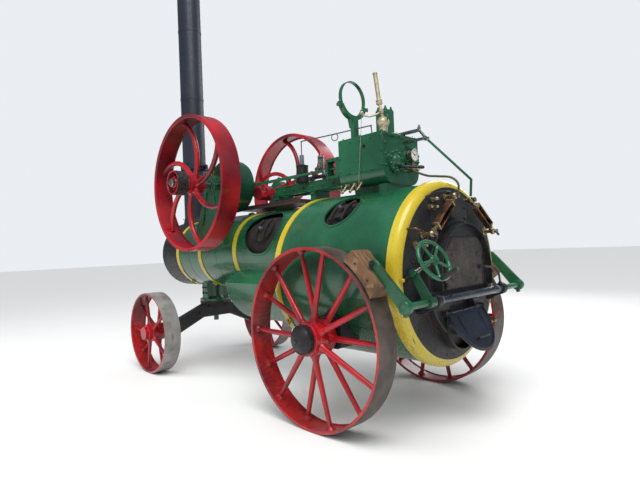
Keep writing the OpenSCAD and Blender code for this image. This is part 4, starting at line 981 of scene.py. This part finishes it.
oilers = Piece("lubricator_trim", "black")
oilers.hoop((930, 10, 2169), Z, [(58, -4), (64, -4), (64, 4), (58, 6)], 40)
oilers.turned((930, 10, 2169), Z, [(60, -1), (58, 5), (20, 12), (14, 16), (14, 24), (0, 27)], 32)
oilers.hoop((930, 10, 2010), Z, [(58, -4), (63, -4), (63, 5), (58, 6)], 40)
oilers.tube([(930, -46, 2040), (930, -80, 2030), (905, -110, 2080), (885, -126, 2112)], 5)
# Grey post on the can's lid.
oilers.look("blue_grey")
oilers.turned((930, 10, 2190), Z, [(26, -6), (24, 2), (24, 84), (20, 92), (8, 94)])
oilers.look("steel")
oilers.turned((800, PISTON_Y, 2117), Z, [(24, -4), (28, 0), (28, 8), (31, 10)], 24)
oilers.turned((800, PISTON_Y, 2257), Z, [
    (32, -8), (33, -2), (31, 6), (18, 12), (6, 15), (6, 24), (11, 28), (8, 36), (0, 38)], 28)
oilers.look("glass")
oilers.hoop((800, PISTON_Y, 2142), Z, [(30.5, 0), (32.5, 2), (32.5, 96), (30.5, 98)], 32)
oilers.done()

pedestals = Piece("pedestal_fittings", "green")
for side in (1, -1):
    y = side * 460
    # Bearing cap with its split line and its studs.
    pedestals.box((CRANK_X - 132, y - 46, 2049), (CRANK_X + 132, y + 46, 2069), 4)
    for x in (CRANK_X - 96, CRANK_X + 96):
        pedestals.box((x - 30, y - 42, 2066), (x + 30, y + 42, 2100), 5)
        pedestals.nuts([(x, y - 18, 2100), (x, y + 18, 2100)], Z, 22)
    for axis in (Y, -Y):
        pedestals.hoop(CRANK + y * Y, axis, [(44.5, 48), (66, 48), (62, 57), (44.5, 58)], 40)
    pedestals.nuts([(x, 507 if side > 0 else -510, 1470) for x in (1680, 1740, 1960, 2050, 2140)],
                   side * Y, 24)
    # Webs on the pedestal's outer face.
    for dx in (-70, 70):
        pedestals.prism([(CRANK_X + dx * 2.2, 0, 1640), (CRANK_X + dx * 2.2 + 18, 0, 1640),
                         (CRANK_X + dx * 0.9 + 9, 0, 1990), (CRANK_X + dx * 0.9 - 9, 0, 1990)],
                        side * 509 * Y, side * 521 * Y)
# Oil cups on the bearing caps.
pedestals.look("brass")
for side in (1, -1):
    pedestals.turned((CRANK_X, side * 460, 2167), Z, [
        (14, -2), (14, 4), (9, 6), (9, 14), (20, 18), (20, 42), (13, 50), (5, 52), (5, 60),
        (0, 61)], 18)
pedestals.done()

rod = Piece("connecting_rod_trim", "crank")
CRANK_PIN = Vector((1746, PISTON_Y, 1970))
CROSSHEAD = Vector((1130, PISTON_Y, 2059))
along = (CROSSHEAD - CRANK_PIN).normalized()
over = Y.cross(along)
rod.look("steel")
for end, reach in ((CRANK_PIN + 60 * along, 46), (CROSSHEAD - 44 * along, 30)):
    for step, side in product((-1, 1), (1, -1)):
        rod.nut(end + step * over * reach * 0.62 + side * 26 * Y, side * Y, 13, washer=False)
rod.look("brass")
rod.turned(CRANK_PIN + 62 * Z, Z, [(9, -6), (12, 2), (12, 18), (8, 22), (0, 23)], 14)
rod.done()

shaft = Piece("crank_trim", "crank", "crank")
for y, side in ((-205, -1), (-55, 1)):
    shaft.hoop(CRANK + y * Y, side * Y, [(41, 0), (58, 0), (55, 6), (41, 7)], 36)
shaft.look("steel")
shaft.nut((1746, -206, 1970), -Y, 40, stud=False)
shaft.hoop(CRANK + 95 * Y, Y, [(42, 16), (60, 16), (57, 22), (42, 23)], 36)
shaft.done()

eccentric = Piece("valve_gear_trim", "green")
for z in (CRANK_Z - 92, CRANK_Z + 92):
    eccentric.box((CRANK_X - 18, 84, z - 10), (CRANK_X + 26, 108, z + 10), 3)
    eccentric.nuts([(1856, 96, z + 9), (1884, 96, z + 9)], Z, 14)
eccentric.nuts(product((320, 380, 440), [136], (1968, 2140)), Y, 14)
eccentric.look("steel")
for x in (520, 700, 900):
    eccentric.turned((x, 95, CRANK_Z), X, [(14, -12), (21, -10), (21, 10), (14, 12)], 6)
# Thin rod with its hanging ring, from the block's top to the lubricator's post.
eccentric.tube([
    (930, 10, 2276), (930, 9, 2400), (922, 8, 2416), (900, 6, 2420), (469, 0, 2404),
    (60, 0, 2392), (38, 0, 2386), (28, 0, 2368), (24, 0, 2310), (24, 0, 2250)], 6)
eccentric.turned((24, 0, 2250), Z, [(16, 0), (16, 8), (9, 12)], 6)
eccentric.hoop((469, 3, 2373), (-0.35, 1, 0), [
    (30, -3), (35, -3), (37, 0), (35, 3), (30, 3), (28, 0)], 36)
eccentric.done()

tray = Piece("oil_tray_trim", "tray")
for x, (y, side) in product(range(980, 2000, 110), ((60, 1), (-310, -1))):
    tray.rivet((x, y, 1818), side * Y, 6, 3)
tray.tube([(935, 60, 1839), (1470, 62, 1839), (2005, 60, 1839)], 4)
tray.done()

# ---------------------------------------------------------------- chimney rest

REST_X, REST_Z = 236, 2671
STRAP_R = 158
rest = Piece("chimney_rest_trim", "green")
rest.nuts(product((REST_X - 112, REST_X - 60, REST_X + 14), (-44, 44), [2268]), Z, 20)
rest.hoop((REST_X - 17, 0, 2268), Z, [(30, 0), (44, 0), (38, 8), (30, 22)], 24)
rest.look("steel")
rest.nut((REST_X, 163, 2585), -Z, 20)
for turn in (-1, 1):
    rest.turned((REST_X + turn * 24, -184, 2611), turn * X, [(8, -3), (8, 3), (5, 5), (0, 5.5)], 12)
rest.done()

strap = Piece("rest_strap_trim", "green", "rest_strap")
strap.look("steel")
strap.nut((REST_X, 163, 2623), Z, 20)
strap.look("green")
for x in (REST_X + 16, REST_X - 16):
    strap.tube([(x, STRAP_R * cos(a), REST_Z + STRAP_R * sin(a)) for a in arc(-18, 198, 15)],
               3.5, 6)
strap.done()

# ---------------------------------------------------------------- fire end

FACE_X = -765
FRAME_X = -789
DOOR_X = -804
ASH_Z, ASH_R = 765, 223
FLAP_R = 255

fire = Piece("firebox_trim", "black")
fire.hoop((FACE_X, 0, 1070), -X, [
    (430, -26), (437, -24), (437, -4), (432, 2), (424, 2), (424, -2)], 96)
fire.hoop((PLATE_X, 0, 1070), -X, [(429, 0), (452, 0), (450, 7), (429, 9)], 96)
fire.rivets([p for p in ring((PLATE_X - 8, 0, 1070), -X, 441, 40) if p.z > 700], -X, 6, 3)
fire.rivets([p for p in ring((-832, 0, 1106), -X, 371, 36) if p.z > 1120], -X, 4, 1.8)
for side in (-1, 1):
    fire.nuts([(FRAME_X, side * 330, 1010), (FRAME_X, side * 306.9, 1240)], -X, 16)
# Rounded lip of the ash box's mouth.
fire.tube([(FACE_X - 2, ASH_R * cos(a), ASH_Z + ASH_R * sin(a)) for a in arc(180, 360, 13)], 8)
for y in (-231, 231):
    fire.box((FACE_X - 10, y - 9, ASH_Z), (FACE_X + 1, y + 9, 800), 2)
fire.look("red")
fire.tube([(-794, -450, 722), (-812, -450, 735), (-849, -450, 794)], 7)
fire.look("brass")
fire.turned((PLATE_X, -450, 700), -X, [
    (24, 0), (24, 8), (14, 12), (14, 60), (20, 64), (20, 110), (12, 116), (0, 118)], 14)
fire.done()

leaf = Piece("fire_door_trim", "fire_door", "fire_door")
for y, z in ((173, 1256), (-194, 1247), (189, 1074), (-176, 1057)):
    leaf.turned((DOOR_X, y, z), -X, [(17, -1), (17, 4), (13, 8), (5, 10), (0, 10.5)], 16)
for z in (1070, 1245):
    leaf.box((DOOR_X - 6, 110, z + 14), (DOOR_X + 2, 280, z + 36), 2)
    leaf.turned((-802, 292.5, z + 13), Z, [(13, 1), (13, 24), (8, 26), (0, 27)], 14)
leaf.tube([(DOOR_X - 1, y, z) for y, z in (
    (-262, 1020), (-262, 1240), (-226, 1328), (-152, 1364), (0, 1366), (152, 1364), (226, 1328),
    (262, 1240), (262, 1020))], 4, 6)
leaf.look("black")
leaf.box((-824, -240, 1128), (DOOR_X + 1, -196, 1160), 3)
leaf.turned((-849, -472, 1004), -Z, [(8, -6), (14, -2), (15, 10), (12, 18), (0, 22)], 14)
leaf.done()

flap = Piece("ash_flap_trim", "ash_flap", "ash_flap")
HINGE = Vector((-783, 0, 838))
FLAP_TURN = Matrix.Rotation(radians(31), 3, "Y")


def on_flap(out, y, down):
    """A point on the flap: how far out from its middle plane, across, and down from its hinge."""
    return HINGE + FLAP_TURN @ Vector((-out, y, -down))


straight = [(-FLAP_R, 12), (-FLAP_R, 40), (-FLAP_R, 62)]
bend = [(FLAP_R * cos(a), 62 - FLAP_R * sin(a)) for a in arc(180, 360, 17)[1:-1]]
rim = straight + bend + [(-y, down) for y, down in straight[::-1]]
flap.tube([on_flap(8, y, down) for y, down in rim], 8)
for y in (-150, 150):
    flap.tube([on_flap(6, y, 40), on_flap(8, y * 1.02, 110), on_flap(6, y * 0.96, 190)], 5)
for y in (-180, 0, 180):
    flap.turned(on_flap(0, y - 34, 0), Y, [(14, 0), (14, 68)], 14)
    flap.rivets([on_flap(6, y - 20, 26), on_flap(6, y + 20, 26)], FLAP_TURN @ -X, 6, 4)
flap.done()

# ---------------------------------------------------------------- backplate fittings

glass = Piece("water_gauge_trim", "brass")
GAUGE_X = -779
# Y and Z of each water gauge's top and foot.
GAUGES = [((70, 1681), (400, 1402)), ((-180, 1661), (-530, 1418))]
for top_at, foot_at in GAUGES:
    a, b = Vector((GAUGE_X, *top_at)), Vector((GAUGE_X, *foot_at))
    line = (b - a).normalized()
    for end, turn in ((a, 1), (b, -1)):
        glass.turned(end + turn * 18 * line, turn * line, [
            (17, 0), (17, 12), (21, 14), (21, 26), (14, 30), (13, 44)], 6)
        glass.turned(end, -X, [(15, 14), (15, 30), (19, 32), (19, 40), (0, 42)], 6)
        glass.turned(end + 53 * X, X, [(18, 0), (18, 16), (30, 18), (30, 27)], 16)
        glass.nuts(ring(end + 71 * X, -X, 22, 3, 30), -X, 9, washer=False, stud=False)
    glass.look("black")
    glass.rod(a - 8 * X - 20 * line, a + Vector((-50, 30, 12)), 5)
    tap = b + Vector((-50, 22, -18))
    glass.rod(b - 8 * X, tap, 5)
    glass.turned(tap, (-0.4, 0.5, -0.3), [(5, -4), (9, 0), (9, 28), (0, 32)], 10)
    # Brown protector: a bright-edged cheek on each side of the glass, and a back.
    turn = axes(X, X.cross(line), line)
    mid = (a + b) / 2
    half = (b - a).length / 2 - 84
    plates = [("copper", (-30, step - 4, -half), (18, step + 4, half)) for step in (-27, 27)]
    plates += [("pipe", (12, -27, -half), (20, 27, half))]
    plates += [("brass", (-30, -32, step - 8), (20, 32, step + 8)) for step in (-half, half)]
    for look, low, high in plates:
        glass.look(look)
        glass.box(low, high, 2, mid, turn)
# Try cocks and the small valves by the left gauge.
for y, z, reach in ((250, 1655, 58), (300, 1600, 44), (235, 1598, 50)):
    glass.turned((PLATE_X, y, z), -X, [
        (20, 0), (20, 8), (11, 10), (11, reach * 0.5), (17, reach * 0.55), (17, reach * 0.8),
        (9, reach), (0, reach + 2)], 14)
glass.turned((PLATE_X, 486, 1330), -X, [
    (30, 0), (30, 10), (19, 14), (19, 46), (28, 50), (28, 74), (16, 80), (14, 96), (0, 98)], 16)
glass.look("copper")
glass.tube([(-760, 470, 1410), (-766, 500, 1422), (-764, 556, 1440), (-716, 570, 1443),
            (-698, 572, 1443)], 8)
glass.look("black")
glass.tube([(-698, 330, 1668), (-730, 300, 1690), (-744, 180, 1712), (-736, 60, 1716),
            (-698, 30, 1716)], 8)
glass.done()

plate = Piece("backplate_trim", "plate")
# Black box between the two gauges, with an arched top.
plate.prism([(0, y, z) for y, z in (
    (-150, 1495), (-150, 1600), (-128, 1660), (-60, 1690), (20, 1684), (62, 1650), (78, 1590),
    (78, 1495))], (PLATE_X + 1) * X, (PLATE_X - 52) * X)
plate.nuts(product([PLATE_X - 52], (-120, 50), (1520, 1600)), -X, 15)
plate.rivets([p for p in ring(PLATE_X * X + MAIN, -X, 612, 44, 4) if p.z < 980], -X, 8, 4)
for y, z in ((-470, 1240), (-520, 1140), (520, 1240)):
    plate.turned((PLATE_X, y, z), -X, [(34, 0), (34, 6), (20, 10), (20, 18), (0, 19)])
plate.done()

# ---------------------------------------------------------------- brake

ARM_Y = 830
ARM_TOP = Vector((-605.7, 0, 1220.4))
# The arm's half width at its shaft, and how much less it is at its upper end.
ARM_FOOT_HALF, ARM_NARROWS = 46, 16

brake = Piece("brake_shaft_trim", "brake", "brake")
for side in (1, -1):
    foot, head = SHAFT + side * ARM_Y * Y, ARM_TOP + side * ARM_Y * Y
    for turn in (1, -1):
        brake.turned(foot + turn * 24 * Y, turn * Y, [
            (44, -2), (40, 4), (27, 6), (27, 2), (0, 1.5)], 28)
        brake.turned(head + turn * 13 * Y, turn * Y, [(27, -1), (27, 4), (20, 6)])
    brake.look("black")
    brake.nut(head + side * 17 * Y, side * Y, 30)
    # Two slots in the arm's back edge, drawn as thin black strips whose black is painted shade for
    # the slots' depth.
    reach = (head - foot).length
    along = (head - foot).normalized()
    back = along.cross(Y)
    edge = (reach * along - ARM_NARROWS * back).normalized()
    for slot_at, half in ((286, 34), (207, 27)):
        mid = foot + slot_at * along + (ARM_FOOT_HALF - ARM_NARROWS * slot_at / reach) * back
        brake.box((-half, -6, -2), (half, 6, 0.9), 0.4, mid, axes(edge, Y, edge.cross(Y)))
    brake.look("brake")
    brake.box((-12, -18, -62), (12, 18, -40), 4, foot)
brake.look("blue_grey")
brake.hoop(SHAFT, Y, [(30, -425), (33, -424), (33, -404), (30, -402)], 36)
brake.hoop(SHAFT, Y, [(30, 420), (33, 422), (33, 442), (30, 443)], 36)
brake.look("black")
for y in (330, -330):
    brake.turned(SHAFT + Vector((-22, y, 22)), (-1, 0, 1), [(8, 0), (8, 14), (5, 16), (0, 16.4)], 6)
brake.done()

wood = Piece("brake_block_boards", "wood", "brake")
BLOCK_TURN = Matrix.Rotation(radians(-48), 3, "Y")
for side in (1, -1):
    pivot = Vector((0, side * 800, REAR_R))
    # Two worn boards on the block's back, and dark bolt heads in its sides.
    wood.look("wood")
    for dy in (-43, 43):
        wood.box((-168, dy - 39, 766), (150, dy + 39, 783), 6, pivot, BLOCK_TURN)
    wood.look("black")
    for dx, across in product((-70, 80), (1, -1)):
        wood.turned(pivot + BLOCK_TURN @ Vector((dx, across * 85, 732)), across * Y, [
            (9, -1), (9, 1.5), (6, 3), (0, 3.2)], 14)
wood.done()

bearings = Piece("brake_bearing_trim", "black")
for y in (-500, 480):
    for turn in (1, -1):
        bearings.hoop(SHAFT + (y + turn * 22) * Y, turn * Y, [
            (25, -1), (42, -1), (38, 6), (25, 7)], 28)
    for z in (876, 946):
        bearings.nut((PLATE_X - 62, y, z), -X, 20)
        bearings.nut((PLATE_X - 20, y + 22, z), Y, 16)
bearings.look("yellow")
bearings.box((-722, 655, 1089), (-690, 680, 1113), 3)
bearings.done()

wheel = Piece("handwheel_trim", "green", "brake_handwheel")
LIFT, HEADING = radians(27), radians(174.4)
OUT = cos(LIFT) * turned_to(HEADING, X, Y) + sin(LIFT) * Z
HUB = Vector((-900, 580, 1230))
wheel.turned(HUB + 16 * OUT, OUT, [(26, -4), (24, 6), (15, 8), (15, 12), (0, 13)], 24)
wheel.hoop(HUB, OUT, [(25, -14), (30, -8), (30, 8), (25, 14)], 28)
wheel_turn = Matrix.Rotation(HEADING, 3, "Z") @ Matrix.Rotation(radians(63), 3, "Y")
spokes = [wheel_turn @ turned_to(radians(i * 72 - 10), X, Y) for i in range(5)]
for out in spokes:
    wheel.turned(HUB + 24 * out, out, [(16, 0), (13.5, 8), (10.6, 20)], 12)
    wheel.turned(HUB + 127 * out, -out, [(16, -2), (13.5, 6), (10.6, 18)], 12)
# The grip on the rim, by the first spoke, and the screw's thread.
wheel.look("black")
wheel.turned(HUB + 136 * spokes[0] + 10 * OUT, OUT, [
    (13, -2), (17, 4), (17, 40), (15, 80), (16.5, 118), (14, 134), (12.5, 138)], 18)
wheel.look("steel")
for k in range(24):
    wheel.hoop(HUB - (40 + 6.8 * k) * OUT, OUT, [(10.5, -2), (12.4, 0), (10.5, 2)], 14)
wheel.done()

# ---------------------------------------------------------------- front carriage

carriage = Piece("front_carriage_trim", "black", "turntable")
for side in (1, -1):
    for turn in (1, -1):
        carriage.nuts([(FRONT_X + turn * 46, side * y, z)
                       for y, z in ((560, 470), (260, 600), (120, 670))], turn * X, 24)
    carriage.turned((FRONT_X, side * 640, FRONT_R), side * Y, [(54, -6), (54, 4), (48, 8)], 28)
    carriage.hoop((FRONT_X, side * 720, FRONT_R), side * Y, [
        (43.5, -8), (58, -8), (58, 2), (43.5, 4)], 28)
carriage.rivet_ring((FRONT_X, 0, 717), Z, 190, 20, 9, 7, 4)
carriage.hoop((FRONT_X + 260, 0, 590), Z, [(23, -1), (36, -1), (33, 6), (25, 8)], 28)
carriage.nuts(product((2716, 2780), (-38, 38), [590]), Z, 20)
carriage.rod((2700, 330, 575), (2700, 330, 470), 7)
carriage.done()

post = Piece("king_post_trim", "green")
post.nuts(ring((FRONT_X, 0, 761), Z, 150, 8, 22.5), Z, 24)
post.hoop((FRONT_X, 0, 761), Z, [(94, -1), (122, -1), (108, 12), (94, 26)], 40)
for side in (1, -1):
    post.nuts(product((FRONT_X - 34, FRONT_X + 34), [side * 150], (830, 900)), side * Y, 20)
post.done()

brackets = Piece("axle_bracket_trim", "black")
for side in (1, -1):
    brackets.nuts([(x, side * 680, z) for x, z in (
        (-110, 640), (-110, 750), (70, 640), (70, 750), (-20, 590), (-20, 800))], side * Y, 24)
    brackets.hoop((0, side * 696, REAR_R), side * Y, [
        (44.5, -1), (66, -1), (60, 6), (44.5, 8)], 32)
brackets.done()

pipes = Piece("steam_pipe_trim", "pipe")
PIPE_Y, PIPE_Z, PIPE_R = -352, 1765, 33.5
for x in (700, 1500, 2300):
    at = Vector((x, PIPE_Y, PIPE_Z))
    pipes.hoop(at, X, [(PIPE_R, -16), (56, -16), (56, 16), (PIPE_R, 16)], 32)
    for p in ring(at + 16 * X, X, 46, 4, 45):
        pipes.nut(p, X, 15, washer=False)
        pipes.nut(p - 32 * X, -X, 15, washer=False)
pipes.look("black")
for x in (1100, 1900, 2700):
    pipes.hoop((x, PIPE_Y, PIPE_Z), X, [(PIPE_R, -14), (38, -14), (38, 14), (PIPE_R, 14)], 32)
    pipes.rod((x, PIPE_Y, 1730), (x, -300, 1608), 8)
pipes.look("pipe")
pipes.hoop((40, PIPE_Y, 1880), Z, [(PIPE_R, -12), (54, -12), (54, 12), (PIPE_R, 12)], 32)
pipes.turned((40, -246, 2000), -Y, [(58, 0), (58, 12), (46, 16), (40, 22)], 28)
pipes.nuts(ring((40, -258, 2000), -Y, 50, 5), -Y, 14, washer=False)
pipes.done()

# ---------------------------------------------------------------- floor and light

FLOOR_HALF = 60.0
LAMP_SIZE = 5.0


def add_floor():
    mesh = bpy.data.meshes.new("floor")
    corners = [(x * FLOOR_HALF, y * FLOOR_HALF, 0) for x, y in ((-1, -1), (1, -1), (1, 1), (-1, 1))]
    mesh.from_pydata(corners, [], [(0, 1, 2, 3)])
    floor = placed("floor", mesh)
    s = Shader("floor")
    s.give(Specular_IOR_Level=0.1)
    floor.data.materials.append(s.finish((0.74, 0.74, 0.73), 0.9))


def add_lamp(name, kind, power, way, mirrored):
    """A lamp that shines along way; mirrored says if glossy surfaces show it."""
    data = bpy.data.lights.new(name, kind)
    data.energy = power
    lamp = placed(name, data)
    lamp.visible_glossy = mirrored
    lamp.rotation_euler = Vector(way).to_track_quat("-Z", "Y").to_euler()
    return lamp


def add_area(name, at, target, power, mirrored=True):
    lamp = add_lamp(name, "AREA", power, Vector(target) - Vector(at), mirrored)
    lamp.data.shape = "DISK"
    lamp.data.size = LAMP_SIZE
    lamp.location = at


def add_sun():
    """A weak, wide sun, so the floor stays pale all the way to the backdrop."""
    lamp = add_lamp("sun", "SUN", 1.6, (0.35, -0.55, -1.0), False)
    lamp.data.angle = 1.0


def add_world():
    """Even pale light, with a plain pale backdrop for the camera and for reflections."""
    world = bpy.data.worlds.new("studio")
    bpy.context.scene.world = world
    world.use_nodes = True
    tree = world.node_tree
    tree.nodes.clear()

    def sky(colour, strength):
        made = tree.nodes.new("ShaderNodeBackground")
        made.inputs["Color"].default_value = (*colour, 1.0)
        made.inputs["Strength"].default_value = strength
        return made.outputs[0]

    def seen_as(ray, usual, special):
        """The sky called special for one kind of ray, and usual for all others."""
        made = tree.nodes.new("ShaderNodeMixShader")
        for key, value in enumerate((path.outputs[ray], usual, special)):
            tree.links.new(value, made.inputs[key])
        return made.outputs[0]

    path = tree.nodes.new("ShaderNodeLightPath")
    shine = seen_as("Is Glossy Ray", sky((0.93, 0.96, 1.0), 0.55), sky((0.72, 0.84, 1.0), 0.26))
    seen = seen_as("Is Camera Ray", shine, sky((0.90, 0.93, 0.97), 0.92))
    output = tree.nodes.new("ShaderNodeOutputWorld")
    tree.links.new(seen, output.inputs["Surface"])


add_floor()
add_world()
add_sun()
add_area("key", (-3.5, 2.5, 7.5), (0.0, 0.0, 1.4), 360)
add_area("fill", (4.5, 6.0, 4.5), (0.3, 0.0, 1.6), 165, False)
add_area("back", (0.5, -7.0, 5.5), (0.0, 0.0, 1.6), 205)
bpy.context.scene.view_settings.view_transform = "Standard"
